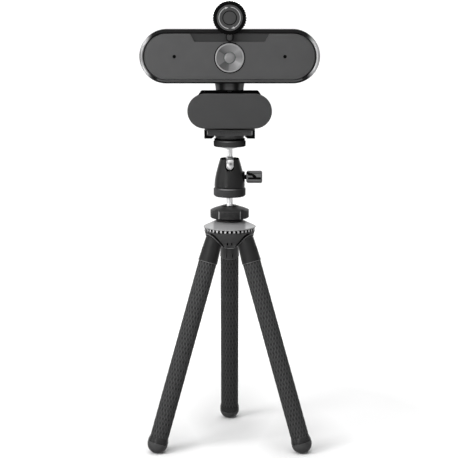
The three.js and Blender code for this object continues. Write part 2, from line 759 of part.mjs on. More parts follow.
// Satin front panel with the lens's seat, the cover's recess and the two microphone holes.
function frontPanel() {
  const rim = panelRadius;
  const plate = bodyPill([[0, panelFront], [rim, panelFront], [rim, panelBack], [0, panelBack]]);
  const above = panelTop + over;
  const recessFoot = panelTop - recess.height;
  const spread = recess.top + ((recess.top - recess.bottom) * over) / recess.height;
  const trapezoid = new THREE.Shape([
    new THREE.Vector2(-recess.bottom, recessFoot), new THREE.Vector2(recess.bottom, recessFoot),
    new THREE.Vector2(spread, above), new THREE.Vector2(-spread, above),
  ]);
  const through = (radius, z, x, sides) => barY(radius, panelFront - over, panelBack + over, z, x, sides);
  return cut(
    plate,
    facing(trapezoid, panelFront - over, panelFront + recessDepth),
    barY(lensRingRadius + gap, panelFront - over, panelFront + lensFlange + gap, lensHeight, 0, wideSides),
    through(lensSleeveRadius + gap, lensHeight, 0, wideSides),
    through(coverPinRadius + gap, coverPivotHeight, 0, pinSides),
    through(microphoneHoleRadius, bodyMiddle, -microphoneOffset, pinSides),
    through(microphoneHoleRadius, bodyMiddle, microphoneOffset, pinSides),
  );
}

const lensFront = panelFront - lensStandOut;
const lensBack = panelBack + 0.7;

function lensRing() {
  const flangeBack = panelFront + lensFlange;
  return turnedY(closed([
    [lensBore, lensBack], [lensBore, lensFront + 1.4], [lensRingRadius - 0.8, lensFront],
    [lensRingRadius, lensFront + 0.2], [lensRingRadius, flangeBack], [lensSleeveRadius, flangeBack],
    [lensSleeveRadius, lensBack],
  ]), lensHeight, wideSides);
}

function lensGlass() {
  const radius = lensBore - gap;
  return turnedY([
    [0, lensFront + 0.6], [2, lensFront + 0.75], [radius, lensFront + 1.4],
    [radius, lensBack - gap], [0, lensBack - gap],
  ], lensHeight);
}

function lensBarrel() {
  const [front, back] = [lensBack + gap, board.front - gap];
  return turnedY(closed([
    [barrelBore, front], [barrelRadius, front], [barrelRadius, back], [barrelBore, back],
  ]), lensHeight);
}

function webcam() {
  const group = new THREE.Group();
  const chipBack = board.front - gap;
  const microphone = (x) =>
    block(
      [x - chip.microphoneHalf, x + chip.microphoneHalf], [chipBack - chip.microphoneDepth, chipBack],
      [bodyMiddle - chip.microphoneHalf, bodyMiddle + chip.microphoneHalf],
    );
  const sensor = block(
    [-chip.halfSensor, chip.halfSensor], [chipBack - chip.sensorDepth, chipBack],
    [lensHeight - chip.halfSensor, lensHeight + chip.halfSensor],
  );
  const circuit = block(
    [-board.halfWidth, board.halfWidth], [board.front, board.front + board.thickness],
    [bodyMiddle - board.halfHeight, bodyMiddle + board.halfHeight],
  );
  const inletFront = body.back - wall - gap;
  const flangeFront = body.back + gap;
  const flangeBack = flangeFront + cableInlet.flangeThickness;
  const inlet = turnedY(closed([
    [cableInlet.bore, inletFront], [cableInlet.tube, inletFront], [cableInlet.tube, flangeFront],
    [cableInlet.flange, flangeFront], [cableInlet.flange, flangeBack], [cableInlet.bore, flangeBack],
  ]), bodyFoot + cableInlet.rise, smallSides);
  group.add(
    piece('front_bezel', frontBezel(), finishes.glossBlack),
    piece('rear_case', rearCase(), finishes.mattBlack),
    piece('front_panel', frontPanel(), finishes.satinGrey),
    piece('lens_ring', lensRing(), finishes.lensSteel),
    piece('lens_glass', lensGlass(), finishes.glass),
    piece('lens_barrel', lensBarrel(), finishes.blackPlastic),
    piece('main_board', circuit, finishes.circuitBoard),
    piece('image_sensor', sensor, finishes.glass),
    piece('microphone_left', microphone(-microphoneOffset), finishes.steel),
    piece('microphone_right', microphone(microphoneOffset), finishes.steel),
    piece('cable_inlet', inlet, finishes.rubber),
    piece('tilt_pin', barX(pinRadius, -tiltPinHalf, tiltPinHalf, 0, tiltHeight, pinSides), finishes.steel),
  );
  return group;
}

// ---- Privacy cover ----

const coverBack = panelFront - coverStandOff;
const coverFront = coverBack - coverThickness;
const coverHeight = 2 * coverPivotHeight - lensHeight; // half a turn brings the cover over the lens

// A stadium in X and Z from the pivot upwards, for the arm and for its seat in the cover.
function armOutline(halfWidth, top) {
  const outline = new THREE.Shape();
  outline.moveTo(halfWidth, top);
  outline.lineTo(-halfWidth, top);
  outline.lineTo(-halfWidth, coverPivotHeight);
  outline.absarc(0, coverPivotHeight, halfWidth, Math.PI, Math.PI * 2);
  outline.closePath();
  return outline;
}

function privacyCover() {
  const group = new THREE.Group();
  const armTop = coverHeight - armShort;
  const armFront = coverBack - armThickness;
  const disc = solidMoved(
    prism(toothedOutline(coverRadius, knurlDepth, knurls), coverFront, coverBack),
    new THREE.Matrix4().makeRotationX(-Math.PI / 2), 0, 0, coverHeight,
  );
  const seatBack = coverFront + coverFaceThickness + gap;
  const faceSeat = barY(coverFaceRadius + gap, coverFront - over, seatBack, coverHeight, 0, wideSides);
  const armSeat = facing(armOutline(armHalfWidth + gap, armTop + gap), armFront - gap, coverBack + over);
  const plate = facing(armOutline(armHalfWidth, armTop), armFront, coverBack);
  const rise = facing(
    armOutline(armRiseHalfWidth, coverHeight - coverRadius - gap), armFront - armRise, armFront + 0.1,
  );
  const pivotBar = (radius, from, to) => barY(radius, from, to, coverPivotHeight, 0, pinSides);
  const arm = cut(
    join(plate, rise),
    pivotBar(coverPinRadius + gap, coverBack - coverPin.inArm - gap, coverBack + over),
  );
  const pin = join(
    pivotBar(coverPinRadius, coverBack - coverPin.inArm, panelBack + coverPin.back),
    pivotBar(coverPin.head, panelBack + gap, panelBack + coverPin.back),
  );
  const face = barY(coverFaceRadius, coverFront, coverFront + coverFaceThickness, coverHeight, 0, wideSides);
  group.add(
    piece('cover_disc', cut(disc, faceSeat, armSeat), finishes.mattBlack),
    piece('cover_face', face, finishes.satinGrey),
    piece('cover_arm', arm, finishes.mattBlack),
    piece('cover_pin', pin, finishes.steel),
  );
  return group;
}

// ---- The whole object ----

const webcamOnTripod = new THREE.Group();
webcamOnTripod.add(tripod(), ballHead(), clip(), swivel(), webcam(), privacyCover());

// The stand's axis is set back so that the footprint is centred on the origin.
const footprint = new THREE.Box3().setFromObject(webcamOnTripod);
webcamOnTripod.position.y = -(footprint.min.y + footprint.max.y) / 2;
webcamOnTripod.updateMatrixWorld(true);

export default webcamOnTripod;
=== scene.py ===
# A webcam with a swinging privacy cover, on a monitor clip, a ball head and a tripod with flexible legs.
# Every piece is built in millimetres about the stand's axis and then placed in the CAD frame, in metres.
import json
from math import asin, atan2, cos, dist, exp, hypot, pi, radians, sin, tan

import bmesh
import bpy
from mathutils import Matrix, Vector


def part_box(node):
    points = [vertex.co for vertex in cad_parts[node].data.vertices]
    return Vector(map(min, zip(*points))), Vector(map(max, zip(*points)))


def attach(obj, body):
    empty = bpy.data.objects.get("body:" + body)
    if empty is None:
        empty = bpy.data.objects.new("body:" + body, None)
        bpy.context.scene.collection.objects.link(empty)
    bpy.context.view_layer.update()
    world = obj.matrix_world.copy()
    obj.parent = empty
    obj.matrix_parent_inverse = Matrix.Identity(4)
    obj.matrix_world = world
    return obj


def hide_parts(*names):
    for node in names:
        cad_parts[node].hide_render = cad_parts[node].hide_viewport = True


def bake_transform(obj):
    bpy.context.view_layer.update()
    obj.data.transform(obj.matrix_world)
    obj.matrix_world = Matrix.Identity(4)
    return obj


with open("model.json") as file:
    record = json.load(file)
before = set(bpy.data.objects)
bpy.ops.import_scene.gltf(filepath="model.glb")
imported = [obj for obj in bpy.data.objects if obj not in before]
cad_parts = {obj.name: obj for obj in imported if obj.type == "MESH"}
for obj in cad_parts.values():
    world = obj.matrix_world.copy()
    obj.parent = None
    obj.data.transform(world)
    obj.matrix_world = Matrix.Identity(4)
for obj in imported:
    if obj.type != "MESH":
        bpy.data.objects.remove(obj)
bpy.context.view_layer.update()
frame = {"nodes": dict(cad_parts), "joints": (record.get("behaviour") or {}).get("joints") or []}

MM = 0.001
TURN = 2 * pi
BORE = 3.475  # the radius of the hole that clears the stud
joints = {j["name"]: j for j in frame["joints"]}
stud_low, stud_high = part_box("tripod_stud")
STAND = Matrix.Translation((0, (stud_low.y + stud_high.y) / 2, 0)) @ Matrix.Scale(MM, 4)
INTO_STAND = STAND.inverted()


def extent(node):
    """A CAD node's box as (x0, x1), (y0, y1), (z0, z1), in millimetres about the stand's axis."""
    low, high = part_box(node)
    return tuple(zip(INTO_STAND @ low, INTO_STAND @ high))


def pivot(name, into=INTO_STAND):
    """A joint's place, in millimetres about the stand's axis."""
    return into @ Vector(joints[name]["pos_m"])


# ---- The body's measures ----

(_, body_half), (body_front, body_split), (body_low, body_high) = extent("front_bezel")
body_back = extent("rear_case")[1][1]
body_radius = (body_high - body_low) / 2
body_middle = (body_high + body_low) / 2
straight = body_half - body_radius
(_, panel_half), (panel_front, panel_back), (_, panel_top) = extent("front_panel")
panel_radius = panel_half - straight
(_, ring_radius), (ring_front, ring_back), ring_heights = extent("lens_ring")
lens_height = sum(ring_heights) / 2
tilt = pivot("cam_tilt")
cover_pivot = pivot("cover_swing")

# ---- Shapes: each is (points, faces) in millimetres ----


def evenly(start, end, count):
    """Numbers from the start to the end, which are count equal steps apart."""
    return [start + (end - start) * k / count for k in range(count + 1)]


def polar(radius, angle, *height):
    """The point at a radius and an angle about Z, with its height if one is given."""
    return (radius * cos(angle), radius * sin(angle), *height)


def rounded(points, closed=False, steps=4):
    """The outline with an arc at each point that states a radius as its third number."""
    out = []
    count = len(points)
    for i, point in enumerate(points):
        here = Vector(point[:2])
        if len(point) < 3 or (not closed and i in (0, count - 1)):
            out.append(tuple(here))
            continue
        before = Vector(points[i - 1][:2]) - here
        after = Vector(points[(i + 1) % count][:2]) - here
        half = before.angle(after) / 2
        reach = min(point[2] / tan(half), 0.49 * before.length, 0.49 * after.length)
        radius = reach * tan(half)
        before.normalize()
        after.normalize()
        centre = here + (before + after).normalized() * (radius / sin(half))
        start = here + before * reach - centre
        end = here + after * reach - centre
        first = atan2(start.y, start.x)
        sweep = (atan2(end.y, end.x) - first + pi) % TURN - pi
        for k in range(steps + 1):
            x, y = polar(radius, first + sweep * k / steps)
            out.append((centre.x + x, centre.y + y))
    return out


def smoothed(points, rounds=3, short=0.6):
    """Corner cutting over an open line of points, its ends and its short steps kept."""
    for _ in range(rounds):
        out = [points[0]]
        for a, b in zip(points, points[1:]):
            if dist(a, b) < short:
                out += [a, b] if out[-1] != a else [b]
                continue
            out += [tuple(p * (1 - t) + q * t for p, q in zip(a, b)) for t in (0.25, 0.75)]
        out.append(points[-1])
        points = out
    return points


def skin(rings, closed=False):
    """Faces between rings of points, with a face over each open end. A ring of one point is a tip."""
    points, index = [], []
    for ring in rings:
        index.append(range(len(points), len(points) + len(ring)))
        points += ring
    faces = []
    for low, high in list(zip(index, index[1:])) + ([(index[-1], index[0])] if closed else []):
        sides = max(len(low), len(high))
        for i in range(sides):
            j = (i + 1) % sides
            corners = [low[i % len(low)], low[j % len(low)], high[j % len(high)], high[i % len(high)]]
            face = list(dict.fromkeys(corners))
            if len(face) > 2:
                faces.append(face)
    if not closed:
        faces += [list(end) for end in (index[0][::-1], index[-1]) if len(end) > 2]
    return points, faces


def circle(radius, height, segments, dip=None):
    """A ring of points, which sinks at each angle by what dip(radius, angle) gives."""
    if radius < 1e-6:
        return [(0.0, 0.0, height)]
    angles = [TURN * i / segments for i in range(segments)]
    return [polar(radius - dip(radius, a) if dip else radius, a, height) for a in angles]


def lathe(profile, segments=96, dip=None):
    """A profile of (radius, height) turned about Z, going up along the outside. One off the axis makes a ring."""
    return skin([circle(r, h, segments, dip) for r, h in profile], closed=profile[0][0] > 0)


def turned(points, segments=96):
    """A profile with rounded corners turned about Z."""
    return lathe(rounded(points, closed=points[0][0] > 0), segments)


def post(radius, low, high, segments=96, corner=0):
    """A round bar along Z, whose ends are rounded where a corner's radius is given."""
    if corner:
        return turned([(0, low), (radius, low, corner), (radius, high, corner), (0, high)], segments)
    return lathe([(0, low), (radius, low), (radius, high), (0, high)], segments)


def moved(shape, matrix):
    return [tuple(matrix @ Vector(p)) for p in shape[0]], shape[1]


def facing(shape, z=0, x=0):
    """A shape whose heights run along Z, laid over so that they run along +Y, at a given height."""
    return moved(shape, Matrix.Translation((x, 0, z)) @ Matrix.Rotation(-pi / 2, 4, "X"))


def along_x(shape, y, z):
    return moved(shape, Matrix.Translation((0, y, z)) @ Matrix.Rotation(pi / 2, 4, "Y"))


def spun(shape, angle):
    return moved(shape, Matrix.Rotation(angle, 4, "Z"))


def stadium_ring(radius, straight, depth, middle, segments=96):
    half = segments // 2
    ring = []
    for side, start in ((1, -pi / 2), (-1, pi / 2)):
        for k in range(half + 1):
            x, z = polar(radius, start + pi * k / half)
            ring.append((side * straight + x, depth, middle + z))
    return ring


def stadium(profile, straight, middle, closed=False):
    """A profile of (radius, depth) round a stadium in X and Z, which runs along Y."""
    return skin([stadium_ring(r, straight, y, middle) for r, y in profile], closed)


def inset(outline, distance):
    """The closed outline moved inwards. It runs anticlockwise."""
    out = []
    for i, here in enumerate(map(Vector, outline)):
        before = (here - Vector(outline[i - 1])).normalized()
        after = (Vector(outline[(i + 1) % len(outline)]) - here).normalized()
        inward = Vector((-before.y - after.y, before.x + after.x)).normalized()
        shrink = max(0.35, inward.dot(Vector((-before.y, before.x))))
        out.append(tuple(here + inward * (distance / shrink)))
    return out


def slab(outline, low, high, edge=0.3, steps=3, corner_steps=4):
    """An anticlockwise outline in X and Y raised from one height to another, its corners and edges rounded."""
    outline = rounded(outline, closed=True, steps=corner_steps)
    arc = [(edge * (1 - sin(t)), edge * (1 - cos(t))) for t in evenly(0, pi / 2, steps)]
    levels = [(d, low + rise) for d, rise in arc] + [(d, high - fall) for fall, d in arc]
    return skin([[(x, y, h) for x, y in inset(outline, d)] for d, h in levels])


def upright(outline, front, back, edge=0.3, steps=3):
    """An outline in X and Z as a plate between two depths."""
    return moved(slab(outline, -back, -front, edge, steps), Matrix.Rotation(pi / 2, 4, "X"))


def box(xs, ys, zs, edge=0.3):
    """A block with rounded upright corners and rounded top and bottom edges."""
    (x0, x1), (y0, y1) = xs, ys
    corners = [(x, y, edge + 0.08) for x, y in ((x0, y0), (x1, y0), (x1, y1), (x0, y1))]
    return slab(corners, *zs, edge, corner_steps=3)


def tube(path, radius, sides):
    """A round bar along a path of points, with flat ends, whose radius depends on the share of the path."""
    rings = []
    last = len(path) - 1
    for i, here in enumerate(map(Vector, path)):
        ahead = (Vector(path[min(i + 1, last)]) - Vector(path[max(i - 1, 0)])).normalized()
        side = (side - ahead * side.dot(ahead)).normalized() if i else ahead.orthogonal().normalized()
        up = ahead.cross(side)
        circle_points = [polar(radius(i / last), TURN * k / sides) for k in range(sides)]
        rings.append([tuple(here + side * x + up * y) for x, y in circle_points])
    return skin(rings)


# ---- Objects ----


def linked(name, data):
    made = bpy.data.objects.new(name, data)
    bpy.context.scene.collection.objects.link(made)
    return made


def plain(name, points, faces):
    """One object made straight from its points and faces."""
    mesh = bpy.data.meshes.new(name)
    mesh.from_pydata(points, [], faces)
    return linked(name, mesh)


def raw(*shapes):
    """One object in millimetres from one or more shapes."""
    mesh = bmesh.new()
    for points, faces in shapes:
        verts = [mesh.verts.new(p) for p in points]
        for face in faces:
            mesh.faces.new([verts[i] for i in face])
    bmesh.ops.remove_doubles(mesh, verts=mesh.verts, dist=1e-4)
    bmesh.ops.recalc_face_normals(mesh, faces=mesh.faces)
    data = bpy.data.meshes.new("raw")
    mesh.to_mesh(data)
    mesh.free()
    return linked("raw", data)


def modify(made, kind, **settings):
    modifier = made.modifiers.new(kind, kind)
    for key, value in settings.items():
        setattr(modifier, key, value)


def settle(made):
    """Applies the object's modifiers to its mesh."""
    graph = bpy.context.evaluated_depsgraph_get()
    mesh = bpy.data.meshes.new_from_object(made.evaluated_get(graph))
    made.modifiers.clear()
    old, made.data = made.data, mesh
    bpy.data.meshes.remove(old)
    return made


def combined(made, tools, operation):
    for tool in tools:
        modify(made, "BOOLEAN", operation=operation, solver="MANIFOLD", object=tool)
    settle(made)
    for tool in tools:
        data = tool.data
        bpy.data.objects.remove(tool)
        bpy.data.meshes.remove(data)
    return made


def carved(made, *shapes):
    return combined(made, [raw(s) for s in shapes], "DIFFERENCE")


def joined(made, *shapes):
    return combined(made, [raw(s) for s in shapes], "UNION")


def softened(made, width=0.12, segments=2, angle=40):
    modify(made, "BEVEL", width=width, segments=segments, limit_method="ANGLE", angle_limit=radians(angle),
           use_clamp_overlap=True)
    return settle(made)


def piece(name, made, finishes, stands_for=(), body=None, place=STAND, sharp=32):
    """Finishes a piece: its place in the frame, its shading, the looks it names and what it rides on."""
    if isinstance(made, tuple):
        made = raw(made)
    made.name = made.data.name = name
    made.data.transform(place)
    made.data.polygons.foreach_set("use_smooth", [True] * len(made.data.polygons))
    made.data.set_sharp_from_angle(angle=radians(sharp))
    made.data.materials.clear()
    for finish in finishes.split():
        made.data.materials.append(looks[finish])
    if stands_for:
        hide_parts(*stands_for)
    if body:
        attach(made, body)
    return made


def repaint(made, index, test, place=STAND):
    """Gives another of the piece's looks to each face that a test picks by its middle, in the place's frame, and
    its normal."""
    back = place.inverted()
    for face in made.data.polygons:
        if test(back @ face.center, face.normal):
            face.material_index = index


# ---- Materials ----

looks = {}


class Nodes:
    """A material's or a world's node tree and its shader."""

    def __init__(self, owner, shader):
        owner.use_nodes = True
        self.tree = owner.node_tree
        self.shader = self.tree.nodes[shader]

    def fill(self, node, inputs):
        """Links each input to a socket, or sets it to a value."""
        for key, value in inputs.items():
            if isinstance(value, bpy.types.NodeSocket):
                self.tree.links.new(value, node.inputs[key])
            else:
                node.inputs[key].default_value = value

    def add(self, kind, output, inputs=(), **settings):
        """A new node's output."""
        node = self.tree.nodes.new("ShaderNode" + kind)
        for key, value in settings.items():
            setattr(node, key, value)
        self.fill(node, dict(inputs))
        return node.outputs[output]

    def set(self, **values):
        self.fill(self.shader, {key.replace("_", " "): value for key, value in values.items()})

    def noise(self, size, detail=2.0, stretch=(1, 1, 1)):
        place = self.add("Mapping", "Vector", {"Scale": [s / size for s in stretch], "Vector": self.place})
        return self.add("TexNoise", "Fac", {"Scale": 1, "Detail": detail, "Roughness": 0.5, "Vector": place})

    def ranged(self, value, low, high, start=0.3, end=0.7, **settings):
        return self.add("MapRange", "Result", {
            "From Min": start, "From Max": end, "To Min": low, "To Max": high, "Value": value}, **settings)

    def between(self, value, first, second):
        inputs = {"A": (*first, 1), "B": (*second, 1), "Factor": value}
        return self.add("Mix", "Result", inputs, data_type="RGBA")

    def math(self, operation, first, second):
        return self.add("Math", "Value", {0: first, 1: second}, operation=operation)

    def part(self, axis, place=None):
        return self.add("SeparateXYZ", axis, {"Vector": place or self.place})

    def bump(self, height, depth):
        return self.add("Bump", "Normal", {"Strength": 1, "Distance": depth * MM, "Height": height})

    def greys(self, value, stops, span=None):
        """Greys along a value from -span to span. The stops give places, in a unit of their own, and levels."""
        reach = stops[-1][0]
        span = span or reach
        color = self.add("ValToRGB", "Color", {"Fac": self.ranged(value, 0, 1, -span, span)})
        bands = color.node.color_ramp.elements
        bands[0].color, bands[1].color = (*grey(stops[0][1]), 1), (*grey(stops[-1][1]), 1)
        for x, level in stops[1:-1]:
            bands.new(0.5 + 0.5 * x / reach).color = (*grey(level), 1)
        return color


def grey(level):
    return (level, level, level * 1.01)


def finish(name):
    """The nodes of a new look. Their place is in millimetres of the frame."""
    looks[name] = bpy.data.materials.new(name)
    n = Nodes(looks[name], "Principled BSDF")
    n.place = n.add("Mapping", "Vector", {"Scale": [1 / MM] * 3, "Vector": n.add("TexCoord", "Object")})
    return n


def surface(name, level, rough, spread=0.12, mottle=5.0, grain=0.25, depth=0.004, rough_spread=0.06,
            specular=0.5, stretch=(1, 1, 1), tint=None, **settings):
    """A finish whose colour and roughness vary a little, with a fine grain in its surface."""
    n = finish(name)
    base = tint or grey(level)
    dark, light = ([c * (1 + s) for c in base] for s in (-spread, spread))
    fine = n.noise(grain, 2, stretch)
    if depth:
        n.set(Normal=n.bump(fine, depth))
    n.set(Base_Color=n.between(n.ranged(n.noise(mottle, 3, stretch), 0, 1), dark, light),
          Roughness=n.ranged(fine, rough - rough_spread, rough + rough_spread), Specular_IOR_Level=specular,
          **settings)


def banded(name, rough, specular, metallic, stops):
    """A smooth finish whose colour is painted with the light and shade of a polished round in a studio, from side
    to side along X.
    """
    n = finish(name)
    n.set(Base_Color=n.greys(n.part("X"), stops), Roughness=n.ranged(n.noise(0.5), rough - 0.03, rough + 0.03),
          Specular_IOR_Level=specular, Metallic=metallic)


def lens_steel():
    """Spun steel: fine rings round the lens, and soft wedges of painted reflection, light and shade, placed by
    degrees.
    """
    n = finish("lens_steel")
    place = n.add("Mapping", "Vector", {"Location": (0, 0, -lens_height), "Vector": n.place})
    angle = n.math("ARCTAN2", n.part("Z", place), n.part("X", place))
    wedges = (
        (-180, 0.18), (-147, 0.18), (-143, 0.09), (-115, 0.09), (-98, 0.11), (-92, 0.17), (-60, 0.19), (-30, 0.26),
        (-20, 0.18), (5, 0.13), (28, 0.17), (45, 0.25), (62, 0.22), (90, 0.2), (118, 0.17), (146, 0.1), (151, 0.17),
        (180, 0.18))
    rings = n.add("TexWave", "Fac", {"Scale": 1.2, "Vector": place}, wave_type="RINGS", rings_direction="Y")
    n.set(Base_Color=n.greys(angle, wedges, pi), Roughness=n.ranged(rings, 0.38, 0.46, 0, 1),
          Normal=n.bump(rings, 0.003), Metallic=0.5, Specular_IOR_Level=0.3)


def rim_metal():
    """Gloss black with brushed streaks, whose colour has painted reflections: dark along the top and bottom,
    turning to a light silver round the two ends.
    """
    n = finish("rim_metal")
    shades = (
        (-body_half, 0.08), (-60.6, 0.13), (-59.6, 0.26), (-57.4, 0.34), (-56, 0.25), (-54, 0.06), (-52.4, 0.01),
        (52.4, 0.01), (54, 0.06), (56, 0.25), (57.4, 0.36), (60, 0.34), (body_half, 0.24))
    streak = n.noise(0.5, 2, (4, 1, 0.25))
    n.set(Base_Color=n.greys(n.part("X"), shades), Roughness=n.ranged(streak, 0.26, 0.4),
          Normal=n.bump(streak, 0.002), Specular_IOR_Level=0.0, Metallic=0.05)


def polished_ball():
    """Chrome drawn as a light, mostly diffuse grey that stands in for its bright reflections, with a painted
    reflection of the studio's dark side low on its right.
    """
    n = finish("polished_ball")
    painted_reflection_spot = STAND @ Vector((0.8, -5.2, pivot("ball_tilt").z + 1.3)) / MM
    away = n.add("VectorMath", "Value", {0: n.place, 1: painted_reflection_spot}, operation="DISTANCE")
    n.set(Base_Color=n.between(n.ranged(away, 0, 1, 0.3, 2.4), grey(0.08), grey(0.85)),
          Roughness=n.ranged(n.noise(0.6), 0.2, 0.24), Metallic=0.2)


def lens_glass():
    n = finish("lens_glass")
    n.set(Base_Color=n.between(n.ranged(n.noise(2.5), 0, 1), grey(0.12), grey(0.14)),
          Roughness=n.ranged(n.noise(0.5), 0.4, 0.5), Coat_Weight=0.1, Coat_Roughness=0.3)


def leg_rubber():
    """The sleeves' rubber: long leaf shapes that overlap down the leg, slightly raised."""
    n = finish("leg_rubber")
    leaves = n.add("Attribute", "Fac", attribute_name="leaf")
    fibre = n.noise(0.25)
    height = n.math("ADD", n.ranged(leaves, 0, 0.85, 0.3, 0.95), n.ranged(fibre, 0, 0.15))
    # The colour follows the pattern's height: the hollows between the leaves are painted dark, as shade, and the
    # raised leaves light, as highlights.
    n.set(Base_Color=n.between(height, grey(0.006), grey(0.06)), Roughness=n.ranged(fibre, 0.46, 0.58),
          Normal=n.bump(height, 0.06), Specular_IOR_Level=0.25)


# Each finish has its level of grey, roughness, spread of level, size of mottle, size of grain, depth of grain,
# spread of roughness and strength of reflection.
surface("satin_grey", 0.047, 0.45, 0.04, 9, 0.18, 0.003, 0.05, 0.3)
surface("plate_grey", 0.033, 0.5, 0.04, 9, 0.16, 0.003, 0.05, 0.3)
surface("recess_grey", 0.023, 0.5, 0.04, 9, 0.18, 0.003, 0.05, 0.3)
surface("socket_black", 0.013, 0.42, 0.1, 12, 0.5, 0.0004, 0.03, 0.4)
surface("dark_black", 0.003, 0.5, 0.2, 12, 0.5, 0.0006, 0.03, 0.0)
surface("arm_black", 0.007, 0.5, 0.1, 12, 0.5, 0.0006, 0.03, 0.1)
surface("matt_black", 0.01, 0.42, 0.1, 6, 0.16, 0.003, 0.06, 0.3)
surface("black_metal", 0.014, 0.38, 0.08, 7, 0.14, 0.003, 0.05, 0.4)
surface("hub_grey", 0.034, 0.42, 0.06, 8, 0.2, 0.003, 0.05, 0.4)
# A lighter copy of socket_black, painted light for the back socket, which the hub shades.
surface("socket_painted_light", 0.044, 0.42, 0.1, 12, 0.5, 0.0004, 0.03, 0.3)
surface("edge_grey", 0.085, 0.42, 0.06, 8, 0.2, 0.003, 0.05, 0.4)
surface("nut_black", 0.021, 0.42, 0.1, 6, 0.16, 0.003, 0.06, 0.3)
surface("lip_grey", 0.2, 0.4, 0.06, 8, 0.2, 0.003, 0.05)
surface("tooth_silver", 0.38, 0.4, 0.04, 9, 0.12, 0.001, 0.03, Metallic=0.2)
surface("groove_black", 0.002, 0.6, specular=0.1)
surface("steel", 0.5, 0.3, 0.06, 4, 0.2, 0.002, 0.06, stretch=(0.2, 1, 1), Metallic=1.0)
surface("aluminium", 0.7, 0.38, 0.05, 4, 0.2, 0.002, 0.06, Metallic=0.5)
surface("brass", 0.5, 0.32, 0.08, 3, 0.2, 0.003, 0.06, tint=(0.62, 0.44, 0.17), Metallic=1.0)
surface("rubber", 0.044, 0.5, 0.1, 4, 0.22, 0.005, 0.06, 0.4)
surface("foot_gloss", 0.021, 0.25, 0.1, 4, 0.3, 0.001, 0.04)
surface("black_plastic", 0.008, 0.5)
surface("arrow", 0.3, 0.5, 0.05)
surface("silicon", 0.03, 0.2, 0.1, 1, 0.4, 0.002, 0.05, tint=(0.03, 0.035, 0.06))
surface("circuit_board", 0.1, 0.45, 0.25, 1.2, 0.5, 0.01, 0.08, tint=(0.02, 0.11, 0.05))
lens_steel()
rim_metal()
lens_glass()
leg_rubber()
polished_ball()

# Each round has its roughness, strength of reflection, metallic share, and its bands of painted light and shade:
# places across it in millimetres, and levels of grey.
banded("column_black", 0.35, 0.1, 0, (
    (-10, 0.14), (-8.0, 0.075), (-7.3, 0.04), (-6.4, 0.01), (-5.0, 0.006), (-3.9, 0.028), (-2.5, 0.07),
    (0.9, 0.072), (2.3, 0.045), (3.4, 0.016), (4.7, 0.005), (5.7, 0.012), (6.5, 0.05), (7.8, 0.11), (10, 0.2)))
banded("cap_silver", 0.5, 0.5, 0.1, (
    (-18, 0.32), (-11.8, 0.36), (-10.4, 0.19), (10.2, 0.21), (11.6, 0.5), (18, 0.55)))
banded("stud_steel", 0.45, 0.5, 0.1, (
    (-3.2, 0.9), (-1.9, 0.95), (-1.4, 0.85), (-0.8, 0.9), (-0.1, 0.74), (0.5, 0.95), (3.2, 0.97)))
banded("neck_chrome", 0.3, 0.5, 0, (
    (-2, 0.5), (-1.3, 0.72), (-0.6, 0.42), (0.3, 0.38), (1.0, 0.68), (2, 0.55)))
banded("ring_side", 0.45, 0.1, 0, (
    (-14, 0.045), (-10, 0.036), (-4, 0.028), (3, 0.025), (8, 0.018), (11, 0.012), (14, 0.003)))
banded("disc_side", 0.45, 0, 0, (
    (-14, 0.002), (-11, 0.01), (-8, 0.018), (-4, 0.027), (4, 0.024), (8, 0.018), (10.5, 0.01), (14, 0.001)))
banded("ring_edge", 0.4, 0.1, 0, (
    (-14, 0.04), (-8.5, 0.028), (-5.5, 0.11), (-1, 0.11), (2, 0.08), (5, 0.03), (14, 0.015)))
banded("disc_edge", 0.4, 0.1, 0, (
    (-14, 0.004), (-9, 0.02), (-5, 0.07), (-2, 0.14), (2, 0.07), (8, 0.02), (14, 0.002)))

# ---- Webcam ----


def bodied(profile, closed=False):
    return stadium(profile, straight, body_middle, closed)


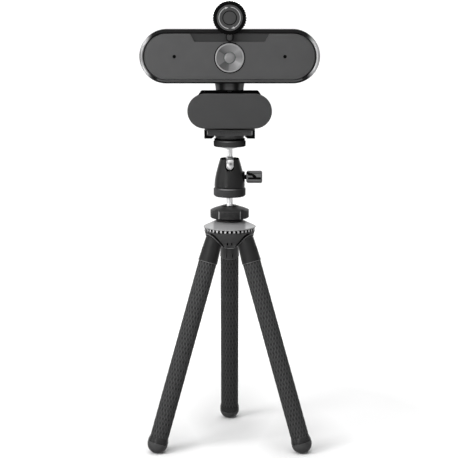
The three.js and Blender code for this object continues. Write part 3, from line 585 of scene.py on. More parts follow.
def webcam():
    wall = 1.7
    lip = panel_radius + 0.35
    ledge = panel_back + 0.3
    nose = [(body_radius - 1.8 * (1 - sin(t)), body_front + 3.3 * (1 - cos(t))) for t in evenly(0, pi / 2, 12)]
    rim = bodied(rounded([
        (body_radius - wall, body_split, 0.2), (body_radius - wall, ledge + 1.2),
        (panel_radius - 0.6, ledge + 1.2), (panel_radius - 0.6, ledge), (lip, ledge), (lip, body_front + 0.8),
        (lip + 0.5, body_front + 0.1, 0.2), *nose, (body_radius, body_split, 0.2),
    ], closed=True, steps=6), closed=True)
    made = piece("rim", rim, "rim_metal satin_grey nut_black", ["front_bezel"], "webcam")
    end = straight + 6

    def reach(p):
        return hypot(max(0, abs(p.x) - straight), p.z - body_middle)

    # Painted light: the lower lip and its ledge take the panel's satin grey, as lit from above, while the top stays
    # dark. At the two ends the groove is painted dark.
    repaint(made, 1, lambda p, n: p.z < body_middle - 12 and abs(p.x) < end and reach(p) < lip + 1.0)
    repaint(made, 2, lambda p, n: abs(p.x) > end and reach(p) < lip + 0.08)

    # The case behind the rim, with its seam, the column's slot and the cable's inlet.
    front = body_split + 0.3
    shell = raw(bodied(rounded([
        (body_radius - wall, front, 0.1), (body_radius, front, 0.25), (body_radius, 1.5, 6),
        (body_radius - 1.2, 8.5, 5), (body_radius - 5.2, body_back, 2.5), (4, body_back),
    ], steps=6)))
    hollow = bodied([(body_radius - wall, front - 1), (body_radius - wall, 1.5),
                     (body_radius - 6.5, body_back - wall - 0.1)])
    slot_radius, slot_half = 8.2, extent("swivel_column")[0][1] + 0.3
    slot = along_x(post(slot_radius, -slot_half, slot_half, 64), 0, tilt.z)
    _, (ring_low, ring_high), inlet_heights = extent("cable_inlet")
    inlet_z = sum(inlet_heights) / 2
    carved(shell, hollow, slot, facing(post(3.5, 5, 20, 48), inlet_z))
    piece("case", shell, "matt_black", ["rear_case"], "webcam", sharp=40)
    grommet = facing(turned([
        (1.9, ring_low), (3.2, ring_low), (3.2, ring_high - 0.8), (4.2, ring_high - 0.8, 0.1),
        (4.2, ring_high, 0.35), (1.9, ring_high, 0.35),
    ], 48), inlet_z)
    piece("inlet_ring", grommet, "rubber", ["cable_inlet"], "webcam")

    # The satin panel with its recess for the cover, the lens's seat and the two microphone holes.
    panel = raw(stadium(rounded([
        (panel_radius - 4, panel_front), (panel_radius, panel_front, 0.35), (panel_radius, panel_back, 0.1),
        (panel_radius - 4, panel_back),
    ]), straight - 0.75, body_middle))
    depth, bottom, top, past = 5.55, 23.9, 27.0, 1
    foot, crest = panel_top - depth, panel_top + past
    spread = bottom + (top - bottom) * (crest - foot) / depth
    trapezoid = upright([(-bottom, foot, 0.5), (bottom, foot, 0.5), (spread, crest), (-spread, crest)],
                        panel_front - 2, panel_front + 1, 0.01)
    microphone = 37.6
    holes = [facing(post(radius, -20, end, segments), z, x) for radius, end, segments, z, x in (
        (ring_radius + 0.7, panel_front + 0.8, 96, lens_height, 0), (8.6, 0, 96, lens_height, 0),
        (1.8, 0, 32, cover_pivot.z, 0), (1.2, 0, 32, body_middle, -microphone),
        (1.2, 0, 32, body_middle, microphone))]
    softened(carved(panel, trapezoid, *holes))
    made = piece("panel", panel, "satin_grey recess_grey groove_black", ["front_panel"], "webcam")
    repaint(made, 1, lambda p, n: foot - 0.3 < p.z < panel_top - 0.1 and abs(p.x) < spread
            and 0.1 < p.y - panel_front < 1.05)
    repaint(made, 2, lambda p, n: p.y > panel_front + 0.15 and (
        hypot(abs(p.x) - microphone, p.z - body_middle) < 1.25
        or hypot(p.x, p.z - lens_height) < ring_radius + 0.72))

    # The lens: a turned cone with a raised bright edge, and a domed glass in a dark ring.
    cone = facing(turned([
        (4.0, ring_back), (4.0, ring_front + 1.5, 0.1), (ring_radius - 1.15, ring_front + 0.35, 0.1),
        (ring_radius - 0.9, ring_front, 0.2), (ring_radius - 0.15, ring_front + 0.05, 0.25),
        (ring_radius, ring_front + 1.0), (8.3, ring_front + 1.0), (8.3, ring_back),
    ], 144), lens_height)
    made = piece("lens_cone", cone, "lens_steel lip_grey", ["lens_ring"], "webcam", sharp=25)
    repaint(made, 1, lambda p, n: hypot(p.x, p.z - lens_height) > ring_radius - 1.0)
    _, (glass_front, glass_back), _ = extent("lens_glass")
    radius, curve = 3.68, 1.1
    dome = [(sin(t), glass_front + 0.8 * (1 - cos(t)) / (1 - cos(curve))) for t in evenly(0, curve, 10)]
    dome = [(r * radius / dome[-1][0], y) for r, y in dome]
    glass = facing(lathe(dome + [(radius, glass_back), (0, glass_back)]), lens_height)
    piece("lens_dome", glass, "lens_glass", ["lens_glass"], "webcam")


def privacy_cover():
    _, (front, back), (low, high) = extent("cover_disc")
    middle, radius = (low + high) / 2, (high - low) / 2
    face_radius, knurls = 8.75, 40

    def knurl(r, angle):
        grip = max(0.0, min(1.0, r - face_radius - 1.0))
        return 0.4 * grip * (0.5 - 0.5 * cos(angle * knurls)) ** 2

    edge = rounded([(face_radius + 0.15, front + 0.75), (face_radius + 0.15, front + 0.2, 0.15),
                    (face_radius + 0.9, front, 0.5), (radius, front + 1.0, 0.8), (radius, back - 0.5, 0.4),
                    (radius - 0.6, back)], steps=5)
    disc = raw(facing(lathe([(0, front + 0.75), *edge, (0, back)], knurls * 8, dip=knurl), middle))
    (arm_low, arm_high), (arm_front, arm_back), (_, arm_top) = extent("cover_arm")
    half = (arm_high - arm_low) / 2
    carved(disc, upright(arm_outline(half + 0.15, arm_top + 0.15), arm_front - 0.2, back + 1, 0.01))
    piece("cover_disc_knurled", disc, "dark_black", ["cover_disc"], "cover")

    # The cover's face: a flat ring, a fine groove and the button inside it.
    groove, level = 4.6, front + 0.05
    face = facing(turned([
        (0, level), (groove - 0.34, level, 0.05), (groove - 0.3, front + 0.4), (groove + 0.3, front + 0.4),
        (groove + 0.34, level, 0.05), (face_radius, level, 0.2), (face_radius, front + 0.6), (0, front + 0.6),
    ], 120), middle)
    made = piece("cover_face_plate", face, "plate_grey groove_black", ["cover_face"], "cover")
    repaint(made, 1, lambda p, n: p.y > front + 0.12 and abs(hypot(p.x, p.z - middle) - groove) < 0.36)

    # Two arrows that go round clockwise, generic marks for the turn.
    reach, width, head = 7.2, 0.2, 0.75
    upon = Matrix.Translation((0, front + 0.02, middle)) @ Matrix.Rotation(pi / 2, 4, "X")
    marks = []
    for start, end in ((-97, -248), (84, -67)):
        angles = [radians(a) for a in evenly(start, end, 40)]
        tip, base = radians(end - 15), radians(end + 3)
        for outline in (
                [polar(reach - width, a) for a in angles] + [polar(reach + width, a) for a in angles[::-1]],
                [polar(reach, tip), polar(reach + head, base), polar(reach - head, base)]):
            marks.append(moved(slab(outline, 0, 0.1, 0.03, 1), upon))
    piece("cover_arrows", joined(raw(marks[0]), *marks[1:]), "arrow", (), "cover")

    # The arm below the disc, with its raised strip.
    plate = raw(upright(arm_outline(half, arm_top), arm_back - 1.6, arm_back, 0.35))
    arm = joined(plate, upright(arm_outline(1.75, low + 0.4), arm_front, arm_back - 1.2, 0.3))
    made = piece("cover_arm_plate", arm, "arm_black recess_grey", ["cover_arm"], "cover")
    repaint(made, 1, lambda p, n: abs(p.x) < 1.76 and p.y < arm_back - 1.61)


def arm_outline(half, top):
    """A strip in X and Z from its round end about the cover's pivot up to its top."""
    end = [polar(half, a) for a in evenly(pi, TURN, 24)]
    return [(half, top), (-half, top)] + [(x, cover_pivot.z + z) for x, z in end]


# ---- Swivel column and clip ----


def swivel_column():
    foot = extent("swivel_column")[2][0]
    neck, flats = 3.6, 5.7
    rings = []
    for t in evenly(0, 1, 12):
        radius = neck + t + 0.35 * (1 - t) ** 6
        rings.append([(x, y, foot + (body_low - foot) * t) for x, _, y in stadium_ring(radius, flats, 0, 0, 64)])
    bore, radius, half = 1.3, 5, 9
    barrel = turned([(bore, -half), (radius, -half, 0.4), (radius, half, 0.4), (bore, half)], 64)
    column = joined(raw(skin(rings)), along_x(barrel, 0, tilt.z))
    carved(column, post(1.75, 240, foot + 7, 24))
    # The column's colour has painted bands of reflection down its length; its lowest millimetre is painted black.
    made = piece("column", column, "column_black groove_black", ["swivel_column"], "swivel")
    repaint(made, 1, lambda p, n: p.z < foot + 1.0)


def clip():
    (_, x1), (front, back), (lip_foot, top) = extent("clip_bracket")
    hinge = pivot("clip_hinge")

    def at_hinge(radius, half, segments, corner=0):
        return along_x(post(radius, -half, half, segments, corner), hinge.y, hinge.z)

    plate_foot = top - 3
    edge = x1 - 2
    outline = [(-x1, plate_foot), (x1, plate_foot), (edge, top, 1.8), (-edge, top, 1.8)]
    apron = box((-16, 16), (front, front + 1.8), (lip_foot, plate_foot + 1))
    bracket = joined(raw(upright(outline, front, back, 0.25)), apron, at_hinge(2.8, 14, 48, 0.3))
    room = box((-9.3, 9.3), (hinge.y - 3.1, back + 1), (lip_foot, top + 1), 0.01)
    screw = lathe([(0, plate_foot - 1), (3.5, plate_foot - 1), (3.5, plate_foot + 2), (1.8, plate_foot + 2),
                   (1.8, top + 1), (0, top + 1)], 32)
    softened(carved(bracket, room, at_hinge(1.3, 15, 32), screw), 0.15)
    piece("bracket", bracket, "dark_black", ["clip_bracket"], "clip_top")

    # The front plate: a satin stadium with softly rounded edges.
    (_, half), (y0, y1), (z0, z1) = extent("clip_front_plate")
    radius = (z1 - z0) / 2
    face = stadium(rounded([(radius - 4, y0), (radius, y0, 0.4), (radius, y1, 0.4), (radius - 4, y1)], steps=6),
                   half - radius, (z0 + z1) / 2)
    piece("front_plate", face, "plate_grey", ["clip_front_plate"], "clip_top")
    xs, ys, zs = extent("grip_pad")
    ribs = [box((xs[0] + 1, xs[1] - 1), (ys[1] - 0.25, ys[1] + 1), (z - 0.35, z + 0.35), 0.01)
            for z in [zs[0] + 2 + 1.6 * k for k in range(8)]]
    pad = carved(raw(box(xs, ys, zs, 0.35)), *ribs)
    piece("grip_pad_ribbed", pad, "rubber", ["grip_pad"], "clip_top")

    # The clip's leg: foot plate with its side flanges, back wall and hinge knuckle.
    (_, x1), (y0, _), (boss_foot, _) = extent("clip_leg")
    flange, wall_back = 1.75, 12
    inner = x1 - flange
    plate_low = boss_foot + 2.5
    leg = raw(box((-x1, x1), (y0, wall_back), (plate_low, plate_low + 4), 0.35))
    boss = turned([(0, boss_foot), (9.7, boss_foot, 0.4), (10.4, plate_low + 0.1), (0, plate_low + 0.1)])
    wall = box((-x1, x1), (wall_back - 2.8, wall_back), (plate_low + 1, hinge.z - 3.1), 0.35)
    neck = box((-9, 9), (wall_back - 2.8, wall_back), (plate_low + 3, hinge.z))
    joined(leg, boss, wall, neck, at_hinge(2.4, 9, 48, 0.25))
    sunk = box((-inner, inner), (y0 - 1, y0 + 0.6), (plate_low - 1, plate_low + 5), 0.01)
    well = post(4.9, boss_foot - 1, extent("thread_insert")[2][1] + 0.05, 64)
    lines = [box((1 - inner, inner - 1), (y0, y0 + 0.8), (z - 0.12, z + 0.12), 0.01)
             for z in (plate_low + 1.0, plate_low + 2.0, plate_low + 3.0)]
    carved(leg, at_hinge(1.3, 15, 32), well, sunk, *lines)
    joined(leg, *[box((x - 0.3, x + 0.3), (y0 + 0.2, y0 + 1), (plate_low + 0.7, plate_low + 3.4), 0.1)
                  for x in (0.3 - inner, inner - 0.3)])
    softened(leg)
    made = piece("clip_leg_body", leg, "hub_grey dark_black lip_grey nut_black", ["clip_leg"],
                 "platform")
    # The side flanges are painted near black, and the underside too, as shade; the two thin beads beside the
    # flanges are painted light grey as highlights, and the boss below a darker grey than the leg, as shade under
    # it.
    repaint(made, 1, lambda p, n: abs(p.x) > inner + 0.02 or p.z < plate_low + 0.2)
    repaint(made, 2, lambda p, n: abs(abs(p.x) - inner + 0.3) < 0.32 and p.y < y0 + 0.55
            and 0.6 < p.z - plate_low < 3.5)
    repaint(made, 3, lambda p, n: p.z < plate_low + 0.05 and hypot(p.x, p.y) < 10.6)
    for side, mirror in (("left", 1), ("right", -1)):
        _, ys, (low, high) = extent("leg_pad_" + side)
        section = [(-x1, low, 0.3), (-x1 + 5.1, low, 0.2), (-x1 + 7.2, high, 0.2), (-x1, high, 0.2)]
        strip = moved(upright(section, *ys, 0.2), Matrix.Diagonal((mirror, 1, 1, 1)))
        piece("foot_strip_" + side, strip, "dark_black", ["leg_pad_" + side], "platform")
    piece("hinge_pin", at_hinge(1, 14, 32, 0.3), "steel", ["clip_hinge_pin"], "platform")


# ---- Ball head ----

ball_z = pivot("ball_tilt").z
clamp_z = pivot("clamp_turn").z
NOTCH = 2.75  # half the width of the notch that the ball's neck swings into


def base_ring():
    (_, radius), _, (foot, top) = extent("base_ring")
    ring = turned([
        (BORE, foot), (radius - 1.0, foot, 0.4), (radius, foot + 1.0, 0.5), (radius, top - 0.75, 0.2),
        (radius - 0.75, top, 0.2), (BORE, top),
    ], 128)
    # The ring's side is painted with bands of light and shade, and its top bevel with a painted highlight arc at
    # the front.
    made = piece("ring_base", ring, "ring_side ring_edge", ["base_ring"], "head")
    repaint(made, 1, lambda p, n: p.z > top - 0.78 and hypot(p.x, p.y) > radius - 1.0)


def housing():
    _, _, (foot, top) = extent("head_housing")
    seat, mouth = 5.8, 4.6
    outside = rounded([
        (seat, foot), (10.35, foot, 0.2), (10.55, foot + 0.8, 0.5), (10.4, foot + 4), (10.1, foot + 6.2),
        (9.65, foot + 8.7), (9.1, foot + 11), (8.45, foot + 13.4), (7.75, foot + 15.9), (7.05, foot + 18.2),
        (6.6, top - 0.35, 0.3), (6.2, top, 0.2), (4.95, top, 0.15),
    ])
    inside = [(seat * sin(a), ball_z + seat * cos(a)) for a in evenly(asin(mouth / seat), pi / 2, 8)]
    shell = raw(lathe(smoothed(outside) + inside, 128))
    boss = turned([(0, 6.5), (4.0, 6.5), (3.9, 9.8), (3.7, 10.5, 0.25), (0, 10.5)], 48)
    joined(shell, along_x(boss, 0, clamp_z))

    def arch(half, y):
        """The notch's outline, open at the top, at one depth."""
        end = [polar(half, a) for a in evenly(pi, TURN, 32)]
        return [(half, y, top + 2), (-half, y, top + 2)] + [(x, y, ball_z + z) for x, z in end]

    notch = skin([arch(NOTCH + 2.4, -14), arch(NOTCH + 0.3, -7), arch(NOTCH - 0.1, -5.6), arch(NOTCH - 0.1, 0)])
    bore = along_x(post(2.2, 0, 12, 32), 0, clamp_z)
    tooth = box((4, 8), (-0.55, 0.55), (top - 0.6, top + 1), 0.01)
    angles = [TURN * (k + 0.5) / 14 for k in range(14)]
    teeth = [spun(tooth, a) for a in angles if abs(a - 1.5 * pi) >= 0.5]
    softened(carved(shell, notch, bore, *teeth), 0.2, 3)
    made = piece("housing", shell, "black_metal dark_black", ["head_housing"], "head", sharp=40)
    # The notch's walls and bevels are painted black, as shade in the cut; the top rim and the knob's boss are
    # painted black too.
    repaint(made, 1, lambda p, n: p.y < -2 and abs(p.x) < NOTCH + 0.6 and p.z > ball_z - NOTCH - 0.6
            and (n.x * p.x + n.y * p.y) / hypot(p.x, p.y) < 0.88)
    repaint(made, 1, lambda p, n: p.z > top - 0.62)
    repaint(made, 1, lambda p, n: p.x > 8 and hypot(p.y, p.z - clamp_z) < 4.2 and hypot(p.x, p.y) > 9.6)


def ball():
    """The polished ball, two dark rings painted just above it, and its neck, whose colour has painted streaks of
    reflection.
    """
    neck_top = extent("ball_and_neck")[2][1]
    radius, flare, neck = 5.5, NOTCH - 0.35, 1.9
    collar = ball_z + 4.67
    profile = [(radius * sin(a), ball_z - radius * cos(a)) for a in evenly(0, pi - asin(flare / radius), 40)]
    profile += [(flare, collar + 0.6), (2.3, collar + 0.9), (2.1, collar + 1.15), (neck, collar + 1.4),
                (neck, neck_top), (0, neck_top)]
    made = piece("ball", lathe(profile), "polished_ball groove_black neck_chrome", ["ball_and_neck"],
                 "ball")
    repaint(made, 2, lambda p, n: p.z > collar + 1.3)
    repaint(made, 1, lambda p, n: -0.6 < p.z - collar < 0.4 or 0.7 < p.z - collar < 1.4)


def clamp_knob():
    """A grip with fluted sides and a curved finger cut."""
    (x0, x1), _, (low, high) = extent("clamp_knob")
    reach, flutes = (high - low) / 2, 8

    def flute(r, angle):
        grip = max(0.0, min(1.0, (r - reach + 1.2) / 1.2))
        phase = (angle * flutes / TURN) % 1
        return 0.45 * exp(-(min(phase, 1 - phase) / 0.07) ** 2) * grip

    profile = rounded([(0, x0), (reach - 1.2, x0, 0.2), (reach, x0 + 0.9, 0.5), (reach, x1 - 0.7, 0.4),
                       (reach - 0.7, x1, 0.2), (0, x1)])
    knob = raw(along_x(lathe(profile, flutes * 16, dip=flute), 0, clamp_z))
    path = []
    for t in evenly(0, 1, 24):
        y, z = polar(reach + 0.15, radians(-62 + 62 * t ** 0.8))
        path.append((x0 + 0.2 + 5.6 * sin(pi / 2 * t), -y, clamp_z - z))
    scoop = tube(path, lambda t: 0.5 + 0.75 * t, 14)
    carved(knob, scoop, along_x(post(1.9, 0, x0 + 4.3, 32), 0, clamp_z))
    made = piece("knob", knob, "edge_grey dark_black", ["clamp_knob"], "clamp_knob", sharp=40)

    # The flutes' floors and the finger cut are painted black, as shade in these hollows.
    def dark(p, n):
        away = hypot(p.y, p.z - clamp_z)
        sunk_face = abs(away - reach) > 0.3 and x0 + 0.9 < p.x < x1 - 0.7 and away > 2
        return sunk_face or min(dist(p, q) for q in path) < 1.3

    repaint(made, 1, dark)


def platform():
    """The platform with its rubber pad. The camera screw inside keeps its CAD shape."""
    (_, radius), _, (low, high) = extent("platform_disc")
    disc = turned([
        (2.3, high - 2), (2.3, low, 0.1), (3.2, low, 0.3), (8.6, low + 1.5, 0.6), (radius - 0.5, low + 1.55, 0.3),
        (radius, low + 2.1, 0.3), (radius, high - 0.7, 0.2), (radius - 0.7, high, 0.2), (BORE, high),
        (BORE, high - 1.7), (0.5, high - 1.7), (0.5, high - 2),
    ], 128)
    # The disc's side is painted with bands of light and shade, its top bevel with a painted highlight arc at the
    # front, and the cone underneath light silver, as a painted reflection of the white floor.
    made = piece("platform", disc, "disc_side tooth_silver disc_edge", ["platform_disc"], "platform")
    repaint(made, 2, lambda p, n: p.z > high - 0.72 and hypot(p.x, p.y) > 10.6)
    repaint(made, 1, lambda p, n: p.z < low + 1.4 and n.z < -0.2)
    _, _, (low, high) = extent("platform_pad")
    pad = turned([(BORE, low), (10.7, low, 0.15), (10.7, high, 0.15), (BORE, high)])
    piece("pad", pad, "dark_black", ["platform_pad"], "platform")


# ---- Stud, nut and hub ----


def stud():
    _, _, (low, high) = extent("tripod_stud")
    neck_low, neck_high = extent("lock_nut")[2][1], extent("base_ring")[2][0]
    thread, neck = 3.175, 2.1
    bar = turned([
        (0, low), (thread, low, 0.3), (thread, neck_low - 1.2, 0.3), (neck, neck_low - 0.6, 0.3),
        (neck, neck_high - 0.2, 0.3), (thread, neck_high + 0.5, 0.3), (thread, high, 0.5), (0, high),
    ], 64)
    # The stud's colour has painted bands of reflection.
    piece("stud", bar, "stud_steel", ["tripod_stud"], "hub")


def lock_nut():
    """A nut with four lobes, which has fine upright grooves on each lobe and a dish on top."""
    _, _, (foot, top) = extent("lock_nut")
    radius, half, step, valley = 13.45, 7.1, 1.1, 11.6
    lobe = asin(half / radius)
    middles = [pi / 2 * (i - 1) for i in range(4)]
    outline = []
    for middle in middles:
        outline += [polar(radius, a) for a in evenly(middle - lobe, middle + lobe, 16)]
        corner = Vector(outline[-1])
        along = Vector(polar(1, middle))
        across = Vector((-along.y, along.x))
        first = corner - along * step + across * 0.6
        last = across * first.dot(along) + along * first.dot(across)
        control = (along + across).normalized() * valley * 2 - (first + last) / 2
        outline += [tuple(first * (1 - t) ** 2 + control * (2 * t * (1 - t)) + last * t * t)
                    for t in evenly(0, 1, 8)]
    nut = raw(slab(outline, foot, top + 1, 0.15))
    envelope = turned([
        (0, foot), (radius - 0.9, foot, 0.4), (radius + 0.1, foot + 0.7, 0.4), (radius + 0.1, foot + 5.6, 0.6),
        (10.6, foot + 6.9, 3), (6.2, top, 0.5), (0, top),
    ], 128)
    combined(nut, [raw(envelope)], "INTERSECT")
    cuts = [turned([(0, top - 1.3), (5.4, top - 1.3), (5.8, top + 1), (0, top + 1)], 64),
            post(BORE, foot - 1, top + 1, 64)]
    for middle in middles:
        for k in range(-8, 9):
            height = 4.4 - 1.4 * abs(k / 8) ** 3
            groove = box((radius - 0.35, radius + 1), (-0.17, 0.17), (foot + 1.1, foot + 1.1 + height), 0.01)
            cuts.append(spun(groove, middle + k * radians(3.3)))
    softened(carved(nut, *cuts))
    made = piece("nut", nut, "nut_black lip_grey groove_black", ["lock_nut"], "lock_nut", sharp=40)
    # The edges beside the front and back lobes' steps are painted light grey, as highlights; the dish and a band
    # round the bottom are painted black.
    repaint(made, 1, lambda p, n: half - 0.05 < abs(p.x) < half + 0.35 and 0.6 < p.z - foot < 5.4
            and abs(p.y) > radius * cos(lobe) - step - 0.2)
    repaint(made, 2, lambda p, n: hypot(p.x, p.y) < 6.6 or p.z < foot + 0.6)
    _, _, (low, high) = extent("nut_collar")
    collar = turned([(BORE, low), (5.2, low, 0.2), (5.2, high, 0.4), (BORE, high, 0.2)], 64)
    piece("collar", collar, "matt_black", ["nut_collar"], "nut_collar")


def hub():
    (_, radius), _, (foot, top) = extent("hub_cap")
    cap = turned([
        (BORE, foot), (radius - 0.2, foot, 0.1), (radius, foot + 0.25, 0.1), (radius - 0.3, foot + 0.75, 0.15),
        (10.7, foot + 4.15, 1.2), (9.6, foot + 4.4, 0.3), (9.6, top, 0.3), (BORE, top),
    ], 144)
    # The cap's colour has painted bands of reflection, darker across the middle; its neck under the nut is painted
    # black and its lower lip a mid grey.
    made = piece("cap", cap, "cap_silver matt_black lip_grey", ["hub_cap"], "hub")
    repaint(made, 2, lambda p, n: p.z < foot + 0.74 and hypot(p.x, p.y) > radius - 0.5)
    repaint(made, 1, lambda p, n: p.z > foot + 4.3 and hypot(p.x, p.y) > 9)

    # Light teeth with dark gaps between them.
    _, _, (low, high) = extent("tooth_ring")
    teeth, reach, depth = 36, 17.5, 1.0
    outline = []
    for i in range(teeth):
        for turn, r in ((-0.22, reach), (0, reach), (0.22, reach), (0.22, reach - depth), (0.78, reach - depth)):
            outline.append(polar(r, TURN * (i + turn) / teeth - pi / 2))
    ring = carved(raw(slab(outline, low, high, 0.12, 2)), post(12, low - 1, high + 1))
    made = piece("teeth", ring, "tooth_silver groove_black", ["tooth_ring"], "hub")
    repaint(made, 1, lambda p, n: hypot(p.x, p.y) < reach - 0.3 or abs(n.z) > 0.8)


def skirt():
    """A bowl cut by the three sockets, which leaves a pointed lobe between each two."""
    _, _, (foot, spigot) = extent("hub_skirt")
    top = spigot - 1.7
    bowl = smoothed([
        (0, foot - 1.0), (3.6, foot - 1.0), (4.4, foot - 0.5), (6.2, foot + 0.3), (8.7, foot + 1.2),
        (11.0, foot + 2.3), (13.0, foot + 3.8), (14.7, foot + 5.6), (16.1, foot + 7.6), (17.1, foot + 9.8),
        (17.6, top - 0.3)])

    def sockets(extra):
        return [moved(socket_shape(extra, 14), INTO_STAND @ LEGS[side]) for side in SIDES]

    # The ridge stands a little proud of the bowl round each socket, with a trench outside it.
    made = raw(lathe(bowl + [(17.55, top), (11.7, top), (11.7, spigot), (0, spigot)], 144))
    proud, sunk = 0.35, 0.4
    ridge = raw(lathe([(r + proud, z - proud) if r else (r, z - 0.3) for r, z in bowl] + [(0, top)], 144))
    first, *others = sockets(1.2)
    combined(ridge, [joined(raw(first), *others)], "INTERSECT")
    core = lathe([(max(r - sunk, 0), z + sunk) for r, z in bowl] + [(0, top)], 144)
    for trench in sockets(2.2):
        combined(made, [carved(raw(trench), core)], "DIFFERENCE")
    combined(made, [ridge], "UNION")
    slots = [spun(box((6, 15), (y - 0.45, y + 0.45), (foot + 2.6, foot + 4.9), 0.2), TURN * k / 3 - pi / 2)
             for k in range(3) for y in (-1.5, 1.5)]
    softened(carved(made, *sockets(0.5), post(BORE, foot + 5, spigot + 1, 48), *slots))
    piece("skirt", made, "hub_grey edge_grey groove_black tooth_silver", ["hub_skirt"], "hub", sharp=40)

    def beyond(p):
        """How much larger the nearest socket would have to be, about, to reach a point."""
        places = [LEGS[side].inverted() @ (STAND @ p) for side in SIDES]
        sides, slope = (SOCKET_FOOT - SOCKET_SHOULDER) / 32, 0.714
        return min(max(hypot(q.x, q.y) - SOCKET_FOOT + sides * (q.z + 10),
                       (hypot(q.x, q.y) - SOCKET_SHOULDER + slope * (q.z - SOCKET_TOP + 3.5)) / (1 + slope),
                       q.z - SOCKET_TOP) for q in places)

    # The ridge is painted a lighter grey, as a highlight along it, and the trench outside it black, as shade; a
    # band near the bottom is painted black and the lip below it light silver.
    repaint(made, 1, lambda p, n: 0.45 < beyond(p) < 1.17 and p.z < top - 1)
    repaint(made, 2, lambda p, n: 1.17 < beyond(p) < 2.23 and p.z < top - 1)
    repaint(made, 2, lambda p, n: foot - 0.45 < p.z < foot + 0.5 and hypot(p.x, p.y) < 7.5)
    repaint(made, 3, lambda p, n: p.z < foot - 0.45)


# ---- Legs ----

SIDES = ("left", "right", "back")


def leg_place(side):
    """The leg's own frame: its upper bend at the origin, the leg down its -Z axis and out along its +X."""
    root, bend = (pivot(joint + side, Matrix()) for joint in ("leg_root_", "leg_bend_"))
    down = bend - root
    turn = Matrix.Rotation(atan2(down.y, down.x), 4, "Z")
    splay = Matrix.Rotation(-atan2(hypot(down.x, down.y), -down.z), 4, "Y")
    return Matrix.Translation(root) @ turn @ splay @ Matrix.Scale(MM, 4)


LEGS = {side: leg_place(side) for side in SIDES}
MID_BEND = (pivot("leg_bend_left", Matrix()) - pivot("leg_root_left", Matrix())).length / MM
LEG_LENGTH = 126.9
SLEEVE = 6.4
SOCKET_FOOT, SOCKET_SHOULDER, SOCKET_TIP, SOCKET_TOP = 6.8, 5.9, 3.4, 24.3  # three radii and a height


def socket_shape(extra=0.0, below=0.0):
    """The socket's cone in the leg's frame, a little larger and longer where it cuts its pocket."""
    low, high = 4 - below, SOCKET_TOP + extra
    line = rounded([
        (0, low), (SOCKET_FOOT + extra, low, 0 if below else 0.3), (SOCKET_SHOULDER + extra, high - 3.5, 0.8),
        (SOCKET_TIP + extra, high, 0.8), (0, high),
    ])
    if below:
        line = [(a[0] + (b[0] - a[0]) * k / 6, a[1] + (b[1] - a[1]) * k / 6)
                for a, b in zip(line, line[1:]) for k in range(6)] + line[-1:]
    return lathe(line)


def leaf(u, v):
    """How high the leg's pattern stands: long leaf shapes in rows, each row half a leaf further down."""
    columns, length = 18, 6.4
    best = 0.0
    for row in (0, 1):
        a = (u * columns + 0.5 * row) % 1 - 0.5
        b = (v / length + 0.5 * row) % 1 - 0.5
        width = 0.46 * (1 - (2 * b) ** 2)
        if width > 0.01:
            best = max(best, 1 - abs(a) / width)
    return best


def sleeve(name, side, top, bottom, node):
    """A length of the leg's rubber sleeve, placed in the leg's frame."""
    around, rows, relief = 160, int((top - bottom) / 0.5), 0.3
    points, values, faces = [], [], []
    for i, z in enumerate(evenly(top, bottom, rows)):
        for k in range(around):
            values.append(leaf(k / around, z))
            points.append(polar(SLEEVE - relief + relief * values[-1], TURN * k / around, z))
            if i < rows:
                this, following = i * around, (i + 1) * around
                j = (k + 1) % around
                faces.append([this + j, this + k, following + k, following + j])
    faces.append(list(range(around)))
    faces.append([rows * around + k for k in reversed(range(around))])
    made = plain(name, points, faces)
    made.data.attributes.new("leaf", "FLOAT", "POINT").data.foreach_set("value", values)
    place = LEGS[side]
    piece(name, made, "leg_rubber", [node], None, place, sharp=50)
    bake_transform(made)


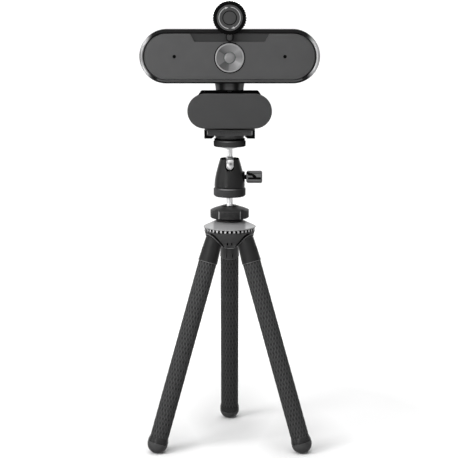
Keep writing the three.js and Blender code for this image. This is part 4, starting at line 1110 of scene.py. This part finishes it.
def leg(side):
    place = LEGS[side]
    upper, lower = "leg_upper_" + side, "leg_lower_" + side
    hollow = lathe([(0, 3), (6.5, 3), (6.5, 6.5), (5.2, 9.5), (0, 9.5)])
    grooves = [box((-9, -5.6), (y - 0.28, y + 0.28), (5.2, 30), 0.01) for y in (-2.2, 2.2)]
    socket = softened(carved(raw(socket_shape()), hollow, *grooves), 0.15)
    # The back socket and its bump take a lighter copy of the sockets' black, painted light where the hub shades it;
    # each socket's mouth is painted light grey as a highlight.
    black = "socket_painted_light" if side == "back" else "socket_black"
    piece("socket_" + side, socket, black + " lip_grey", ["leg_socket_" + side], "hub", place)
    repaint(socket, 1, lambda p, n: p.z < 4.16, place)
    knuckle = skin([
        [(6.0, -1.6, 10.0), (6.0, 1.6, 10.0), (6.2, 1.6, 15.0), (6.2, -1.6, 15.0)],
        [(7.1, -0.8, 11.6), (7.1, 0.8, 11.6), (6.9, 0.8, 13.6), (6.9, -0.8, 13.6)],
    ])
    piece("socket_bump_" + side, softened(raw(knuckle), 0.3, 3, 20), black, (), "hub", place)
    middle, bend = -MID_BEND / 2, 13
    sleeve("sleeve_top_" + side, side, 5.4, middle, "sleeve_upper_" + side)
    sleeve("sleeve_end_" + side, side, middle, -LEG_LENGTH + 2,
           "sleeve_lower_" + side)

    # The foot: a smooth collar over the sleeve, a seam, and a dome that is flat where it stands.
    centre, radius = -LEG_LENGTH, 7.1
    dome = [(radius * sin(a), centre - radius * cos(a)) for a in evenly(0, pi / 2, 16)]
    collar = rounded([(radius, centre), (radius, centre + 0.35), (radius - 0.3, centre + 0.6, 0.05),
                      (radius, centre + 0.85), (radius, centre + 2.0, 2.5), (radius - 0.6, centre + 4.6, 0.5),
                      (SLEEVE + 0.02, centre + 4.7), (SLEEVE + 0.02, centre - 0.5), (0, centre - 0.5)], steps=5)
    x, y = (v / MM for v in (place @ Vector((0, 0, centre)))[:2])
    ground = box((x - 20, x + 20), (y - 20, y + 20), (-20, 0), 0.01)
    foot = carved(raw(lathe(dome + collar[1:])), moved(ground, place.inverted() @ Matrix.Scale(MM, 4)))
    piece("foot_cap_" + side, foot, "rubber foot_gloss", ["foot_" + side], lower, place, sharp=40)
    repaint(foot, 1, lambda p, n: p.z > centre + 0.6, place)


webcam()
privacy_cover()
swivel_column()
clip()
base_ring()
housing()
ball()
clamp_knob()
platform()
stud()
lock_nut()
hub()
skirt()
for side in SIDES:
    leg(side)

# CAD nodes whose shape stays get a material.
for look, names in {
        "black_plastic": "lens_barrel ball_cup",
        "dark_black": "clamp_screw",
        "groove_black": "microphone_left microphone_right",
        "circuit_board": "main_board",
        "silicon": "image_sensor",
        "steel": "tilt_pin cover_pin swivel_screw camera_screw",
        "brass": "thread_insert clamp_shoe",
        "aluminium": " ".join(f"core_upper_{side} core_lower_{side}" for side in SIDES)}.items():
    for name in names.split():
        node = frame["nodes"][name]
        if not node.material_slots:
            node.data.materials.append(None)
        for one in node.material_slots:
            one.link = "OBJECT"
            one.material = looks[look]

# ---- Floor, light and camera ----


def stage_floor():
    """A pale floor with painted light: it glows a little away from the feet, which whitens the shade there and
    meets the white backdrop, and glows least round each foot, where the shadows stay.
    """
    reach, squeeze = 40, 0.35
    corners = [(-reach, -reach, 0), (reach, -reach, 0), (reach, reach, 0), (-reach, reach, 0)]
    floor = plain("floor", corners, [(0, 1, 2, 3)])
    n = finish("floor")
    away = n.add("VectorMath", "Value", {0: n.place}, operation="LENGTH")
    # The patch round each foot where the painted glow fades out is longer along Y, where the shadows fall.
    flat = n.add("Mapping", "Vector", {"Scale": (1, squeeze, 1), "Vector": n.place})
    nearest = None
    for side in SIDES:
        low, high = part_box("foot_" + side)
        middle = ((low.x + high.x) / 2 / MM, squeeze * (low.y + high.y) / 2 / MM, 0)
        gap = n.add("VectorMath", "Value", {0: flat, 1: middle}, operation="DISTANCE")
        nearest = n.math("MINIMUM", nearest, gap) if nearest else gap
    glow = n.math("MAXIMUM", n.ranged(away, 0.0, 0.45, 95, 280), n.ranged(nearest, 0.0, 0.15, 16, 42))
    n.set(Base_Color=n.between(n.ranged(n.noise(60), 0, 1), (0.69, 0.69, 0.69), (0.7, 0.7, 0.7)),
          Emission_Strength=glow, Roughness=0.9, Specular_IOR_Level=0.0, Emission_Color=(1, 1, 1, 1))
    floor.data.materials.append(looks["floor"])
    floor.visible_glossy = False


def backdrop():
    """A white wall all round, far off, that only the camera sees."""
    around, reach = 64, 12
    points = [polar(reach, TURN * k / around, z) for z in (-1, reach) for k in range(around)]
    wall = plain("backdrop", points, [(k, (k + 1) % around, around + (k + 1) % around, around + k)
                                      for k in range(around)])
    n = finish("backdrop")
    n.set(Emission_Color=n.between(n.ranged(n.noise(4000), 0, 1), (0.99, 0.99, 0.99), (1, 1, 1)),
          Emission_Strength=1.0, Roughness=0.9, Specular_IOR_Level=0.0)
    wall.data.materials.append(looks["backdrop"])
    wall.visible_diffuse = wall.visible_glossy = wall.visible_transmission = wall.visible_shadow = False


def aimed(name, kind, energy, towards):
    """A light that shines in a direction."""
    data = bpy.data.lights.new(name, kind)
    data.energy = energy
    made = linked(name, data)
    made.rotation_euler = towards.to_track_quat("-Z", "Y").to_euler()
    return made


def area_light(name, place, size, power, glossy=True):
    """A rectangular light that faces the middle of the object."""
    made = aimed(name, "AREA", power, Vector((0, 0, 0.2)) - Vector(place))
    made.data.shape = "RECTANGLE"
    made.data.size, made.data.size_y = size
    made.location = place
    made.visible_glossy = glossy


def broad_light(name, elevation, width, strength):
    """A large, distant soft light on the camera's side, which lights the floor evenly."""
    y, z = polar(1, radians(elevation))
    made = aimed(name, "SUN", strength, Vector((0, y, -z)))
    made.data.angle = radians(width)


def surroundings():
    """A pale studio: bright at the sides and behind the object, dark overhead and behind the camera."""
    world = bpy.context.scene.world = bpy.data.worlds.new("studio")
    n = Nodes(world, "Background")
    place = n.add("TexCoord", "Generated")
    height, depth = [n.ranged(n.part(axis, place), low, high, start, end, interpolation_type="SMOOTHSTEP")
                     for axis, start, end, low, high in (("Z", 0.45, 0.75, 0.95, 0.17), ("Y", 0.4, 0.85, 0.1, 1.0))]
    n.set(Strength=n.math("MULTIPLY", height, depth), Color=(1, 1, 1, 1))


def camera():
    """A long lens, a metre in front of the stand, which looks down a little."""
    distance, height, pitch = 1050, 326.2, 9.36
    made = linked("camera", bpy.data.cameras.new("camera"))
    made.data.lens = 119.5
    made.data.sensor_width = 36
    made.data.clip_end = 100
    made.location = STAND @ Vector((-0.45, -distance, height))
    made.rotation_euler = (radians(90 - pitch), 0, 0)
    bpy.context.scene.camera = made


stage_floor()
backdrop()
surroundings()
broad_light("overhead", 85, 75, 2.34)
area_light("near_front", (-0.12, -0.6, 0.36), (0.3, 0.3), 1.4, False)
area_light("near_left", (-0.36, -0.29, 0.385), (0.25, 0.25), 2.2, False)
area_light("left_strip", (-1.15, -0.28, 0.3), (0.3, 0.7), 0.6)
area_light("band", (-0.6, -1.05, 0.3), (0.05, 0.8), 1.6)
area_light("above", (0, -0.15, 1.2), (0.4, 0.4), 2.1)
camera()
scene = bpy.context.scene
scene.view_settings.view_transform = "Standard"
scene.view_settings.look = "None"
